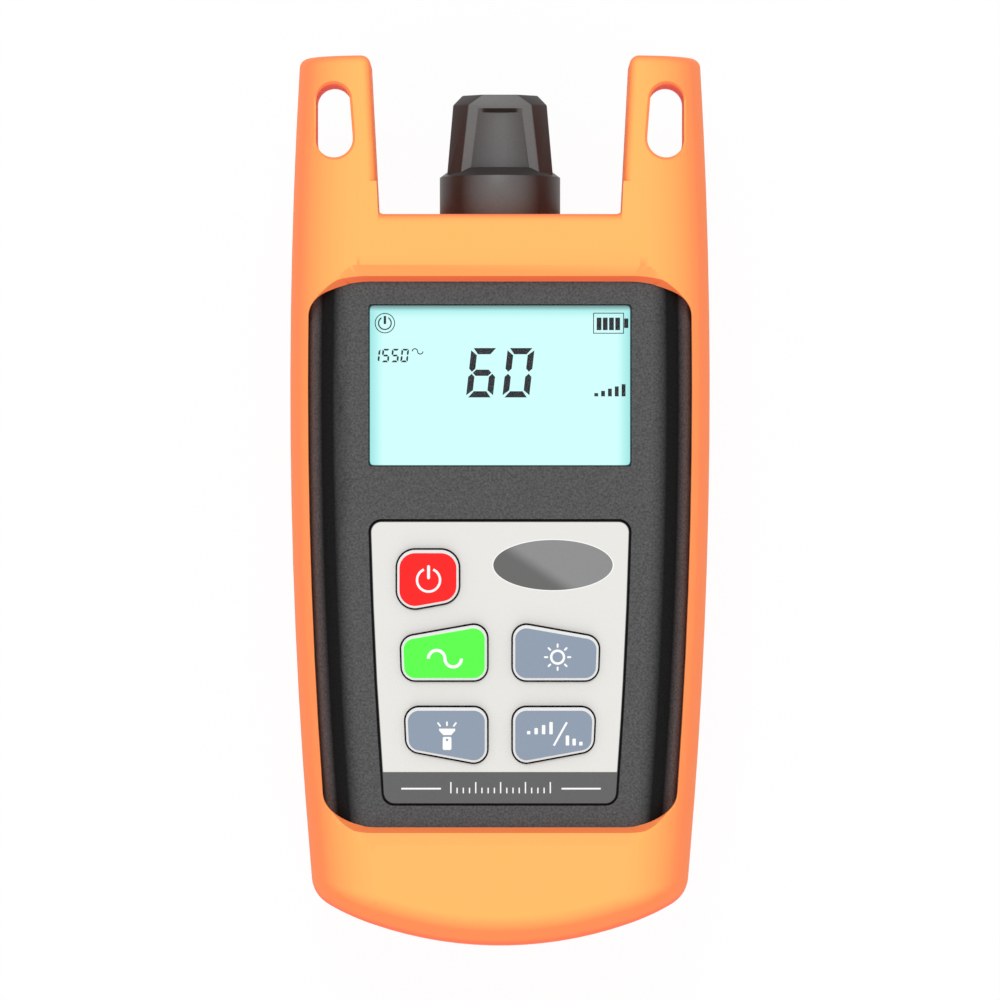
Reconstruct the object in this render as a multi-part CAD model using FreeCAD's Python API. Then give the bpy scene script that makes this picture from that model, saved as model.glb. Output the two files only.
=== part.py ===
import FreeCAD, Part
import math
import os

# Hand-held optical power meter in a moulded silicone sleeve, lying on its back.
# X runs across the meter, Y towards the fibre port, Z out of the front face.
# It is centred in X and Y and rests on z = 0.

V = FreeCAD.Vector
os.makedirs("parts", exist_ok=True)

# ---------------------------------------------------------------- whole meter
total_length = 120.0
half_width = 28.4            # at the widest station
thickness = 30.0
side_radius = 750.0          # plan radius of the long sides
widest_y = 15.0              # station where the sides are widest
end_radius = 52.5            # plan radius of the rounded lower end
low_end = -total_length / 2
ear_tip = total_length / 2
reach = 80.0                 # longer than the meter on either side of the middle
bar_core = 12.0              # each side of the crowned bar runs this far past the middle
bar_sweep = 14.0             # degrees of plan arc, longer than the meter

# ---------------------------------------------------------------- silicone sleeve
sleeve_side = 2.4            # wall at the sides and ends
sleeve_cover = 2.0           # wall over the front and the rear
sleeve_front_roll = 9.5      # roll-off from the front to the sides
sleeve_rear_roll = 5.0
sleeve_end_round = 4.2       # rounding all round the lower end
sleeve_fit = 0.1             # gap between the sleeve and the housing
bay_floor = 38.7             # outside of the end wall between the ears
bay_half_low = 16.35         # half gap between the ears at the end wall
bay_half_high = 17.45        # half gap between the ears at their tips
bay_corner = 0.8
ear_thickness = 14.0
ear_edge = 1.3               # rounding along the ear edges and round their tips
ear_foot = 4.4               # sharp-edged foot of each ear, up from the end wall
slot_outer_x = 24.75         # strap slot: outer wall, the two end rounds and their heights
slot_top_radius = 2.3
slot_low_radius = 2.5
slot_top = 56.2
slot_low = 46.3
slot_edge = 0.35
opening_rim = 2.55           # rim left beside the front opening
opening_top = 29.6
opening_low = -44.2
opening_top_round = (8.6, 4.8)    # corner of the opening, across and along
opening_low_round = (7.4, 5.0)
lip_steep = 0.75             # steep inner facet and the gentle facet outside it
lip_gentle = 1.5
lip_gentle_drop = 0.5
window_half = 19.6           # rear window round the battery door
window_low = -47.4
window_high = 9.0
window_corner = 3.0

# ---------------------------------------------------------------- housing
shell_wall = 1.8
housing_front_roll = 6.0
housing_rear_roll = 3.0
housing_end_round = 2.0
housing_top_round = 1.2
parting = thickness / 2      # joint plane between the two shells, through the port axis
shell_gap = 0.1
wall_bite = 0.1              # bosses and walls run this far into the shell they stand on
hole_spare = 0.5             # screw holes deeper than the screws
boss_radius = 2.4
boss_places = [(-12.0, -51.6), (12.0, -51.6), (-20.4, 31.7), (20.4, 31.7)]
screw_radius = 1.0
screw_head_radius = 2.0
screw_head_height = 1.3
screw_bite = 6.0             # thread length in the front shell
screw_sink = 1.4             # depth of a housing screw's seat
screw_drive = 1.2            # half length of the cross recess
screw_drive_half = 0.25
screw_drive_deep = 0.8
thread_gap = 0.05            # screws in their own cut threads
screw_gap = 0.1              # screws in clear holes
head_gap = 0.2

# ---------------------------------------------------------------- display
display_half = 17.7          # opening in the front shell
display_low = 4.5
display_high = 26.35
display_corner = 0.4
display_lip = 0.6            # shell left in front of the window
display_window_thick = 1.1
display_border = 1.4         # window and glass hidden behind the shell
display_seat_gap = 0.08      # window in its pocket
glass_thick = 2.6
frame_wall = 0.8
frame_gap = 0.1              # frame round the glass
frame_slack = 0.2            # frame below the shell's inside
strip_depth = 0.9
strip_gap = 0.4              # backlight clear of the rubber strips

# ---------------------------------------------------------------- keypad and keys
plate_inset = 10.6           # plate edge in from the sleeve's side, same centre
plate_top = -2.7
plate_low = -40.95
plate_corner = 1.6
plate_recess = 1.1
plate_proud = 0.1
plate_gap = 0.14
plate_edge = 0.25
key_floor = 1.3              # shell left under the keypad plate
key_proud = 0.9              # key tops above the plate
key_gap = 0.14
key_edge = 0.3
key_flange = 0.8             # flange that keeps a key in, all round
key_flange_thick = 0.6
key_travel = 0.5
key_slack = 0.1
backing_rim = 1.5            # shell floor under the plate, wider than the plate
backing_rim_top = 1.0
power_key = [(-13.8, -6.7), (-5.55, -6.7), (-5.55, -13.5), (-13.8, -15.0)]
upper_key = [(-13.3, -18.5), (-1.75, -16.45), (-1.75, -24.2), (-13.1, -24.2)]
lower_key = [(-12.75, -27.85), (-1.75, -27.85), (-1.75, -35.6), (-12.5, -33.6)]
power_key_round = 2.4
other_key_round = 1.8

# ---------------------------------------------------------------- circuit board
board_depth = 10.6           # rear face of the board below the sleeve's front
board_thick = 1.6
board_half = 20.0
board_low = -46.0
board_high = 33.4
board_notch_half = 8.2       # clears the port nut
board_notch_low = 25.6
post_places = [(-13.0, 31.2), (13.0, 31.2), (-17.2, -43.6), (17.2, -43.6)]
post_radius = 1.9
board_corner = 1.0
board_boss_gap = 0.4
board_screw_radius = 0.7
board_screw_bite = 3.0
board_head_radius = 1.6
board_head_height = 1.2
switch_side = 6.0
switch_height = 3.1
switch_floor = 0.6           # bottom of the plunger well above the board
plunger_radius = 1.5
plunger_well = 0.35          # ring gap round each switch plunger
switch_corner = 0.5
processor_place = (0.0, -14.0)
processor_half = 5.0
processor_height = 1.5
processor_lift = 0.2
processor_leads = 8
lead_half = 0.25
lead_reach = 1.0             # lead feet beyond the package
lead_thick = 0.5
shield_box = (-9.0, 9.0, 9.5, 21.5)
shield_height = 2.6
shield_wall = 0.3
shield_round = 0.6
buzzer_place = (-11.0, -32.0)
buzzer_radius = 4.5
buzzer_height = 2.9
buzzer_hole = 0.8
buzzer_hole_deep = 0.9

# ---------------------------------------------------------------- port, cap and torch
port_z = parting
port_bore = 1.25             # 2.5 mm ferrule
bore_length = 9.0
barrel_radius = 3.6
barrel_edge = 0.4
barrel_tip = 51.0
flange_radius = 6.7
flange_thick = 1.6
shank_radius = 4.4
shank_end = 30.4
light_path_radius = 1.6
nut_across = 11.0
nut_thick = 2.4
port_hole_radius = 7.3       # in the sleeve
diode_radius = 2.7
diode_step = 0.3             # can inside its rim
diode_rim = 0.3
diode_tail = 0.5             # header behind the shank
diode_gap = 0.1
diode_sink = 2.6             # photodiode sunk into the shank
diode_pitch = 1.3
diode_lead_y = 23.0
wire_radius = 0.25
cap_radius = 8.15            # plain collar
cap_collar = 4.85
cap_cone = 0.7
cap_neck = 7.02              # collar's top radius and the grip's half width at its foot
cap_grip_tip = 54.5
cap_shoulder = 53.1
cap_slack = 0.05             # collar above the sleeve's end face
cap_bore_gap = 0.3           # cap round the barrel
cap_end_gap = 0.3            # seal in front of the barrel
cap_floor_gap = 0.1          # cap behind the seal
cap_edge = 0.3
grip_foot = (7.02, 4.1, 5.27, 6.2)   # chamfered square: half width, side flat, face flat, half depth
grip_shoulder_scale = 0.904
grip_tip_scale = 0.736
flute_foot_half = 4.2
flute_tip_half = 3.0
flute_depth = 0.9
flute_end = 52.6
flute_sink = 0.4             # flutes start inside the collar
flute_over = 3.0
grip_sink = 0.7              # grip starts below the collar's top
seal_radius = 3.6
seal_thick = 1.2
torch_x = 12.3
torch_radius = 2.4
torch_hole_gap = 0.6
torch_rim = 0.8              # flange inside the end wall
torch_rim_thick = 1.0
torch_dome = 3.2             # lens crown radius
torch_sunk = 1.0             # lens rim below the sleeve's end face
led_radius = 1.5
led_base_radius = 1.9
led_body = 4.0
led_base = 0.6
led_lead_half = 1.0
led_lead_length = 2.4

# ---------------------------------------------------------------- batteries and door
cell_radius = 5.25           # AAA
cell_length = 44.5
cell_nub = 0.9
cell_nub_radius = 1.9
cell_pitch = 11.2
bay_wall = 1.2
bay_side_wall = 1.8
cell_bay_half = 17.0
cell_bay_low = -44.5
cell_bay_high = 5.0
cell_floor_gap = 0.3
contact_thick = 0.4
contact_half = 3.4
contact_low = 6.8
spring_rise = 0.6            # spring higher than the contact
spring_half = 2.5
cradle_half = 2.2            # ribs between the cells
cradle_deep = 2.4
cradle_low = -30.0
cradle_high = -8.0
door_thick = 1.6
door_ledge = 1.1
door_gap = 0.15
tongue_x = 5.6
tongue_half = 1.3
tongue_reach = 1.75
tongue_thick = 1.2
tongue_gap = 0.1             # tongues above the shell's inside
tongue_clear = 0.4
tongue_foot = 2.4
tongue_room = 2.2            # height of the slots for the tongues
door_corner = 1.2
ledge_gap = 0.05
latch_half = 4.0
latch_near = 2.9             # latch tab, in from the door's upper edge
latch_far = 1.9
latch_height = 2.2
groove_count = 4
groove_pitch = 1.6
groove_start = 3.0
groove_radius = 0.9
groove_half = 6.0
groove_above = 0.5

cell_axis_z = sleeve_cover + door_thick + cell_floor_gap + cell_radius
door_half = cell_bay_half + door_ledge
door_low = cell_bay_low - door_ledge
door_high = cell_bay_high + door_ledge
housing_front = thickness - sleeve_cover
housing_rear = sleeve_cover
housing_top = bay_floor - sleeve_side
inner_front = housing_front - shell_wall
inner_rear = housing_rear + shell_wall
inner_top = housing_top - shell_wall
flange_front = housing_top + flange_thick
seal_front = barrel_tip + cap_end_gap
seal_back = seal_front + seal_thick
tongue_lift = shell_wall - door_thick + tongue_gap
board_back = thickness - board_depth
board_front = board_back + board_thick
plate_floor = housing_front - plate_recess
key_floor_back = plate_floor - key_floor
key_top = housing_front + plate_proud + key_proud


# ---------------------------------------------------------------- shared shapes
def save(shape, name):
    shape.exportStep("parts/" + name + ".step")
    print(name, len(shape.Solids), round(shape.Volume, 1))


def box(x0, x1, y0, y1, z0, z1):
    return Part.makeBox(x1 - x0, y1 - y0, z1 - z0, V(x0, y0, z0))


def along_y(radius, y0, y1, x=0.0, z=port_z):
    return Part.makeCylinder(radius, y1 - y0, V(x, y0, z), V(0, 1, 0))


def along_z(radius, z0, z1, x, y):
    return Part.makeCylinder(radius, z1 - z0, V(x, y, z0))


def union(shapes):
    return shapes[0].fuse(shapes[1:]).removeSplitter()


def mirrored(shape):
    return shape.mirror(V(0, 0, 0), V(1, 0, 0))


def upright_edges(shape):
    return [e for e in shape.Edges
            if abs(e.tangentAt(e.FirstParameter).z) > 0.999 and len(e.Vertexes) == 2]


def prism(points, z0, z1):
    wire = Part.makePolygon([V(x, y, z0) for x, y in points] + [V(points[0][0], points[0][1], z0)])
    return Part.Face(wire).extrude(V(0, 0, z1 - z0))


def rounded_box(half, y0, y1, z0, z1, corner):
    block = box(-half, half, y0, y1, z0, z1)
    return block.makeFillet(corner, upright_edges(block))


def side_x(y, inset):
    """Half width of the meter at a station, for a wall that far inside the sleeve's side."""
    radius = side_radius - inset
    return half_width - inset - radius + math.sqrt(radius ** 2 - (y - widest_y) ** 2)


def crowned_bar(inset, rear, front, rear_roll, front_roll, rolled=True):
    """Endless body whose sides curve gently in plan, with rolled or chamfered long edges."""
    side = -half_width + inset
    axis = V(side + side_radius - inset, widest_y, 0)
    far = V(bar_core, widest_y, rear)
    near = V(bar_core, widest_y, front)
    diagonal = 1 - math.sqrt(0.5)
    rear_start = V(side + rear_roll, widest_y, rear)
    rear_mid = V(side + rear_roll * diagonal, widest_y, rear + rear_roll * diagonal)
    rear_stop = V(side, widest_y, rear + rear_roll)
    front_start = V(side, widest_y, front - front_roll)
    front_mid = V(side + front_roll * diagonal, widest_y, front - front_roll * diagonal)
    front_stop = V(side + front_roll, widest_y, front)
    rear_edge = Part.LineSegment(rear_start, rear_stop)
    front_edge = Part.LineSegment(front_start, front_stop)
    if rolled:
        rear_edge = Part.Arc(rear_start, rear_mid, rear_stop)
        front_edge = Part.Arc(front_start, front_mid, front_stop)
    lines = [Part.LineSegment(far, rear_start), rear_edge, Part.LineSegment(rear_stop, front_start),
             front_edge, Part.LineSegment(front_stop, near), Part.LineSegment(near, far)]
    section = Part.Wire([line.toShape() for line in lines])
    face = Part.Face(section)
    face.rotate(axis, V(0, 0, 1), -bar_sweep / 2)
    left = face.revolve(axis, V(0, 0, 1), bar_sweep)
    left = left.common(box(-reach, 0, -reach, reach, rear - 1, front + 1))
    return union([left, mirrored(left)])


def distinct(edges):
    kept = []
    for edge in edges:
        if not any(edge.isSame(other) for other in kept):
            kept.append(edge)
    return kept


def round_ended(inset, rear, front, rear_roll, front_roll, end_round):
    """The crowned bar closed by the round lower end, rounded all the way along that edge."""
    bar = crowned_bar(inset, rear, front, rear_roll, front_roll)
    radius = end_radius - inset
    centre_y = low_end + end_radius
    end = along_z(radius, rear - 1, front + 1, 0, centre_y)
    end = end.fuse(box(-reach, reach, centre_y, reach, rear - 1, front + 1))
    body = bar.common(end).removeSplitter()
    loop = []
    for face in body.Faces:
        surface = face.Surface
        if isinstance(surface, Part.Cylinder) and abs(surface.Radius - radius) < 1e-6:
            loop += face.Edges
    return body.makeFillet(end_round, distinct(loop))


def flat_faces(shape, axis, value):
    """Plane faces square to an axis at a given place."""
    found = []
    for face in shape.Faces:
        if isinstance(face.Surface, Part.Plane):
            normal = face.normalAt(0, 0)
            square = abs(abs(getattr(normal, axis)) - 1) < 1e-6
            if square and abs(getattr(face.CenterOfMass, axis) - value) < 1e-4:
                found.append(face)
    return found


def edges_at(shape, z, x_limit, y_low):
    """Edges lying in the plane z, within x_limit of the middle and above y_low."""
    found = []
    for edge in shape.Edges:
        ends = edge.Vertexes
        level = all(abs(v.Z - z) < 1e-6 for v in ends)
        if len(ends) == 2 and level and all(abs(v.X) < x_limit and v.Y > y_low for v in ends):
            found.append(edge)
    return found


def concentric_panel(inset, y0, y1, z0, z1, corner):
    """Plate whose long edges follow the sleeve's sides at a constant distance."""
    middle = (y0 + y1) / 2
    right = Part.Arc(V(side_x(y0, inset), y0, z0), V(side_x(middle, inset), middle, z0),
                     V(side_x(y1, inset), y1, z0))
    left = Part.Arc(V(-side_x(y1, inset), y1, z0), V(-side_x(middle, inset), middle, z0),
                    V(-side_x(y0, inset), y0, z0))
    low = Part.LineSegment(left.EndPoint, right.StartPoint)
    high = Part.LineSegment(right.EndPoint, left.StartPoint)
    face = Part.Face(Part.Wire([low.toShape(), right.toShape(), high.toShape(), left.toShape()]))
    plate = face.extrude(V(0, 0, z1 - z0))
    return plate.makeFillet(corner, upright_edges(plate))


def opening_outline(grow, z):
    """Front opening: sides follow the sleeve, corners are quarter ellipses, wider than high."""
    inset = opening_rim - grow
    top_y = opening_top + grow
    low_y = opening_low - grow
    top_a, top_b = opening_top_round
    low_a, low_b = opening_low_round
    high_end = top_y - top_b
    low_end_y = low_y + low_b
    high_x = side_x(high_end, inset)
    low_x = side_x(low_end_y, inset)
    middle = (high_end + low_end_y) / 2

    def quarter(x, y, a, b, start):
        ellipse = Part.Ellipse(V(x, y, z), a, b)
        return Part.ArcOfEllipse(ellipse, start, start + math.pi / 2).toShape()

    middle_x = side_x(middle, inset)
    sides = [Part.Arc(V(high_x, high_end, z), V(middle_x, middle, z), V(low_x, low_end_y, z)),
             Part.Arc(V(-low_x, low_end_y, z), V(-middle_x, middle, z), V(-high_x, high_end, z))]
    return Part.Wire([
        Part.LineSegment(V(-high_x + top_a, top_y, z), V(high_x - top_a, top_y, z)).toShape(),
        quarter(high_x - top_a, high_end, top_a, top_b, 0),
        sides[0].toShape(),
        quarter(low_x - low_a, low_end_y, low_a, low_b, 1.5 * math.pi),
        Part.LineSegment(V(low_x - low_a, low_y, z), V(-low_x + low_a, low_y, z)).toShape(),
        quarter(-low_x + low_a, low_end_y, low_a, low_b, math.pi),
        sides[1].toShape(),
        quarter(-high_x + top_a, high_end, top_a, top_b, 0.5 * math.pi),
    ])


def funnel(grow_low, z_low, grow_high, z_high):
    return Part.makeLoft([opening_outline(grow_low, z_low), opening_outline(grow_high, z_high)], True, True)


def strap_slot(side):
    """Slot with one straight outer wall and ends of slightly different radius."""
    top_r = slot_top_radius
    low_r = slot_low_radius
    top = V(-slot_outer_x + top_r, slot_top - top_r, 0)
    low = V(-slot_outer_x + low_r, slot_low + low_r, 0)
    lean = 2 * math.atan2(low_r - top_r, top.y - low.y)
    turn = V(math.cos(lean), math.sin(lean), 0)
    start = V(top.x - top_r, top.y, 0)
    wire = Part.Wire([
        Part.Arc(start, top + V(0, top_r, 0), top + turn * top_r).toShape(),
        Part.LineSegment(top + turn * top_r, low + turn * low_r).toShape(),
        Part.Arc(low + turn * low_r, low - V(0, low_r, 0), low - V(low_r, 0, 0)).toShape(),
        Part.LineSegment(low - V(low_r, 0, 0), start).toShape(),
    ])
    slot = Part.Face(wire).extrude(V(0, 0, thickness + 1))
    return mirrored(slot) if side > 0 else slot


def slot_mouth_edges(shape):
    """Edges where the strap slots meet the front of the ears."""
    found = []
    for edge in shape.Edges:
        bounds = edge.BoundBox
        in_slot = bounds.YMin > slot_low - 0.1 and bounds.YMax < slot_top + 0.1
        at_front = bounds.ZMin > thickness - sleeve_front_roll
        if in_slot and at_front and abs(edge.CenterOfMass.x) > bay_half_high + 1:
            found.append(edge)
    return found


def housing_body(grow):
    """Outside of the closed housing, or the hollow of the sleeve when grown by its fit."""
    inset = sleeve_side - grow
    block = round_ended(inset, housing_rear - grow, housing_front + grow, housing_rear_roll + grow,
                        housing_front_roll + grow, housing_end_round + grow)
    top = housing_top + grow
    block = block.common(box(-reach, reach, -reach, top, -1, thickness + 1)).removeSplitter()
    edges = flat_faces(block, "y", top)[0].Edges
    return block.makeFillet(housing_top_round, edges)


def housing_hollow():
    inset = sleeve_side + shell_wall
    block = crowned_bar(inset, inner_rear, inner_front, housing_rear_roll - shell_wall,
                        housing_front_roll - shell_wall, False)
    centre_y = low_end + end_radius
    end = along_z(end_radius - inset, inner_rear - 1, inner_front + 1, 0, centre_y)
    end = end.fuse(box(-reach, reach, centre_y, inner_top, inner_rear - 1, inner_front + 1))
    return block.common(end).removeSplitter()


# ---------------------------------------------------------------- silicone sleeve
def make_sleeve():
    sleeve = round_ended(0, 0, thickness, sleeve_rear_roll, sleeve_front_roll, sleeve_end_round)
    sleeve = sleeve.common(box(-reach, reach, -reach, ear_tip, -1, thickness + 1))
    sleeve = sleeve.cut(box(-reach, reach, bay_floor, reach, -1, thickness - ear_thickness))
    lean = (bay_half_high - bay_half_low) / (ear_tip - bay_floor)
    over = bay_half_high + lean
    bay = prism([(-bay_half_low, bay_floor), (bay_half_low, bay_floor), (over, ear_tip + 1),
                 (-over, ear_tip + 1)], -1, thickness + 1)
    floor_corners = [e for e in upright_edges(bay) if abs(e.Vertexes[0].Y - bay_floor) < 1e-6]
    bay = bay.makeFillet(bay_corner, floor_corners)
    sleeve = sleeve.cut(bay).removeSplitter()
    rounded = edges_at(sleeve, thickness, bay_half_high + 0.3, bay_floor - 0.1)
    for face in flat_faces(sleeve, "y", ear_tip):
        rounded += face.Edges
    sleeve = sleeve.makeFillet(ear_edge, distinct(rounded))

    foot_top = bay_floor + ear_foot
    foot_x = bay_half_low + lean * ear_foot
    back = thickness - ear_thickness
    root = bay_floor - 2 * ear_edge
    foot = prism([(-bay_half_low - 2 * ear_edge, root), (-bay_half_low, root), (-bay_half_low, bay_floor),
                  (-foot_x, foot_top), (-foot_x - 2 * ear_edge, foot_top)], back, thickness)
    foot = foot.cut(bay)
    sleeve = union([sleeve, foot, mirrored(foot)])

    for side in (-1, 1):
        sleeve = sleeve.cut(strap_slot(side))
    sleeve = sleeve.makeChamfer(slot_edge, slot_mouth_edges(sleeve))

    sleeve = sleeve.cut(housing_body(sleeve_fit))
    steep_foot = housing_front
    steep_top = thickness - lip_gentle_drop
    sleeve = sleeve.cut(Part.Face(opening_outline(0, parting)).extrude(V(0, 0, parting + 1)))
    sleeve = sleeve.cut(funnel(0, steep_foot, lip_steep, steep_top))
    sleeve = sleeve.cut(funnel(lip_steep, steep_top, lip_steep + lip_gentle, thickness))
    window = box(-window_half, window_half, window_low, window_high, -1, sleeve_cover + 1)
    sleeve = sleeve.cut(window.makeFillet(window_corner, upright_edges(window)))
    sleeve = sleeve.cut(along_y(port_hole_radius, housing_top - 1, bay_floor + 1))
    sleeve = sleeve.cut(along_y(torch_radius + torch_hole_gap, housing_top - 1, bay_floor + 1, torch_x))
    return sleeve.removeSplitter()


save(make_sleeve(), "protective_sleeve")


# ---------------------------------------------------------------- housing shells
def shell_half(z0, z1):
    """One half of the hollow housing, cut square at the joint between the shells."""
    wall = housing_body(0).cut(housing_hollow())
    return wall.common(box(-reach, reach, -reach, reach, z0, z1))


def end_wall_holes():
    return [along_y(shank_radius + shell_gap, inner_top - 1, housing_top + 1),
            along_y(torch_radius + shell_gap, inner_top - 1, housing_top + 1, torch_x)]


def key_corners(name):
    """Corners of a key in plan; the right-hand keys mirror the left-hand ones."""
    if name == "power":
        return power_key, power_key_round
    corners = upper_key if name in ("wavelength", "backlight") else lower_key
    if name in ("backlight", "reference"):
        corners = [(-x, y) for x, y in reversed(corners)]
    return corners, other_key_round


def key_block(name, grow, z0, z1):
    """Key outline with rounded corners, grown or shrunk all round."""
    corners, radius = key_corners(name)
    wire = Part.makePolygon([V(x, y, z0) for x, y in corners] + [V(corners[0][0], corners[0][1], z0)])
    if grow:
        wire = wire.makeOffset2D(grow, 2)
    block = Part.Face(wire).extrude(V(0, 0, z1 - z0))
    return block.makeFillet(max(radius + grow, 0.3), upright_edges(block))


key_names = ["power", "wavelength", "backlight", "torch", "reference"]


def display_block(border, z0, z1):
    half = display_half + border
    return box(-half, half, display_low - border, display_high + border, z0, z1)


def make_front_shell():
    shell = shell_half(parting + shell_gap / 2, reach)
    root = inner_front + wall_bite
    backing = concentric_panel(plate_inset - backing_rim, plate_low - backing_rim,
                               plate_top + backing_rim_top, key_floor_back, root, plate_corner)
    bosses = [along_z(boss_radius, parting + shell_gap / 2, root, x, y) for x, y in boss_places]
    posts = [along_z(post_radius, board_front, root, x, y) for x, y in post_places]
    room = housing_body(-2 * wall_bite)
    shell = union([shell, backing.common(room)] + [b.common(room) for b in bosses + posts])
    shell = shell.cut(rounded_box(display_half, display_low, display_high, inner_front - 1, reach,
                                  display_corner))
    seat = display_block(display_border + display_seat_gap, key_floor_back - 1, housing_front - display_lip)
    shell = shell.cut(seat)
    shell = shell.cut(concentric_panel(plate_inset - plate_gap, plate_low - plate_gap, plate_top + plate_gap,
                                       plate_floor, reach, plate_corner + plate_gap))
    for name in key_names:
        shell = shell.cut(key_block(name, key_gap, key_floor_back - 1, plate_floor + 1))
    for hole in end_wall_holes():
        shell = shell.cut(hole)
    for x, y in boss_places:
        shell = shell.cut(along_z(screw_radius + thread_gap, parting - 1, parting + screw_bite + 1, x, y))
    for x, y in post_places:
        shell = shell.cut(along_z(board_screw_radius + thread_gap, board_front - 1,
                                  board_front + board_screw_bite + hole_spare, x, y))
    return shell.removeSplitter()


def make_rear_shell():
    shell = shell_half(-reach, parting - shell_gap / 2)
    side = cell_bay_half + bay_side_wall
    low = cell_bay_low - bay_wall
    high = cell_bay_high + bay_wall
    bay_top = cell_axis_z + cell_radius + cell_floor_gap
    root = inner_rear - wall_bite
    room = housing_body(-2 * wall_bite)
    block = box(-side, side, low, high, root, bay_top + bay_wall)
    bosses = []
    for x, y in boss_places:
        bosses.append(along_z(boss_radius, root, parting - shell_gap / 2, x, y).common(room))
    shell = union([shell, block] + bosses)
    shell = shell.cut(box(-cell_bay_half, cell_bay_half, cell_bay_low, cell_bay_high,
                          housing_rear - 1, bay_top))
    for valley in (-1, 1):
        rib = cradle_rib(valley * cell_pitch / 2, bay_top)
        shell = shell.fuse(rib)
    door_side = door_half + door_gap
    shell = shell.cut(box(-door_side, door_side, door_low - door_gap, door_high + door_gap,
                          housing_rear - 1, housing_rear + door_thick + ledge_gap))
    for x in (-tongue_x, tongue_x):
        x0 = x - tongue_half - tongue_clear
        x1 = x + tongue_half + tongue_clear
        slot_end = cell_bay_low + tongue_clear
        slot_top_z = inner_rear + tongue_room
        slot_start = door_low - tongue_reach - tongue_clear
        shell = shell.cut(box(x0, x1, slot_start, slot_end, inner_rear, slot_top_z))
        shell = shell.cut(box(x0, x1, door_low - door_gap, slot_end, housing_rear, slot_top_z))
    for hole in end_wall_holes():
        shell = shell.cut(hole)
    for x, y in boss_places:
        shell = shell.cut(along_z(screw_radius + screw_gap, housing_rear - 1, parting + 1, x, y))
        seat = along_z(screw_head_radius + head_gap, housing_rear - 1, housing_rear + screw_sink, x, y)
        shell = shell.cut(seat)
    return shell.removeSplitter()


def cradle_rib(x, bay_top):
    """Triangular rib between two cells, hollowed by both cells' rounds."""
    rib = box(x - cradle_half, x + cradle_half, cradle_low, cradle_high, bay_top - cradle_deep,
              bay_top + wall_bite)
    for side in (-1, 1):
        rib = rib.cut(along_y(cell_radius + cell_floor_gap, cradle_low - 1, cradle_high + 1,
                              x + side * cell_pitch / 2, cell_axis_z))
    return rib


def make_housing_screws():
    screws = []
    for x, y in boss_places:
        seat = housing_rear + screw_sink
        head = along_z(screw_head_radius, seat - screw_head_height, seat, x, y)
        shank = along_z(screw_radius, seat, parting + screw_bite, x, y)
        floor = seat - screw_head_height + screw_drive_deep
        drive = box(-screw_drive, screw_drive, -screw_drive_half, screw_drive_half, 0, floor)
        drive = union([drive, drive.rotated(V(0, 0, 0), V(0, 0, 1), 90)]).translated(V(x, y, 0))
        screws.append(union([head, shank]).cut(drive))
    return Part.makeCompound(screws)


save(make_front_shell(), "front_shell")
save(make_rear_shell(), "rear_shell")
save(make_housing_screws(), "housing_screws")


# ---------------------------------------------------------------- display
def make_display():
    window_back = housing_front - display_lip - display_window_thick
    glass_back = window_back - glass_thick
    save(display_block(display_border, window_back, housing_front - display_lip), "display_window")
    save(display_block(display_border, glass_back, window_back), "lcd_panel")
    border = display_border - strip_depth - strip_gap
    save(display_block(border, board_front, glass_back), "backlight_panel")
    strips = []
    for y0 in (display_low - display_border, display_high + display_border - strip_depth):
        strips.append(box(-display_half, display_half, y0, y0 + strip_depth, board_front, glass_back))
    save(Part.makeCompound(strips), "contact_strips")
    inside = display_border + frame_gap
    outer = display_block(inside + frame_wall, board_front, inner_front - frame_slack)
    frame = outer.cut(display_block(inside, board_front - 1, inner_front))
    save(frame, "display_frame")


make_display()


# ---------------------------------------------------------------- keypad
def make_keypad_plate():
    top = housing_front + plate_proud
    plate = concentric_panel(plate_inset, plate_low, plate_top, plate_floor, top, plate_corner)
    rim = flat_faces(plate, "z", top)[0].Edges
    plate = plate.makeChamfer(plate_edge, rim)
    for name in key_names:
        plate = plate.cut(key_block(name, key_gap, plate_floor - 1, reach))
    return plate


def make_key(name):
    """Hard key with a softly rounded top and a flange below the shell's floor."""
    flange_top = key_floor_back - key_slack
    cap = key_block(name, 0, flange_top - key_flange_thick, key_top)
    cap = cap.makeChamfer(key_edge, flat_faces(cap, "z", key_top)[0].Edges)
    flange = key_block(name, key_flange, flange_top - key_flange_thick, flange_top)
    return union([cap, flange])


def key_centre(name):
    corners, _ = key_corners(name)
    return sum(x for x, _ in corners) / 4, sum(y for _, y in corners) / 4


def make_plunger(name):
    x, y = key_centre(name)
    top = key_floor_back - key_slack - key_flange_thick
    foot = board_front + switch_floor + key_travel + plunger_well
    return along_z(plunger_radius, foot, top, x, y)


def make_switches():
    bodies = []
    for name in key_names:
        x, y = key_centre(name)
        half = switch_side / 2
        block = box(x - half, x + half, y - half, y + half, board_front, board_front + switch_height)
        block = block.makeChamfer(switch_corner, upright_edges(block))
        well = along_z(plunger_radius + plunger_well, board_front + switch_floor,
                       board_front + switch_height + 1, x, y)
        bodies.append(block.cut(well))
    return Part.makeCompound(bodies)


save(make_keypad_plate(), "keypad_plate")
for key_name in key_names:
    save(make_key(key_name), "key_" + key_name)
    save(make_plunger(key_name), "plunger_" + key_name)
save(make_switches(), "key_switches")


# ---------------------------------------------------------------- circuit board
def make_board():
    board = box(-board_half, board_half, board_low, board_high, board_back, board_front)
    board = board.makeChamfer(board_corner, upright_edges(board))
    board = board.cut(box(-board_notch_half, board_notch_half, board_notch_low, reach,
                          board_back - 1, board_front + 1))
    for x, y in boss_places:
        board = board.cut(along_z(boss_radius + board_boss_gap, board_back - 1, board_front + 1, x, y))
    for x, y in post_places:
        board = board.cut(along_z(board_screw_radius + screw_gap, board_back - 1, board_front + 1, x, y))
    return board


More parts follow.
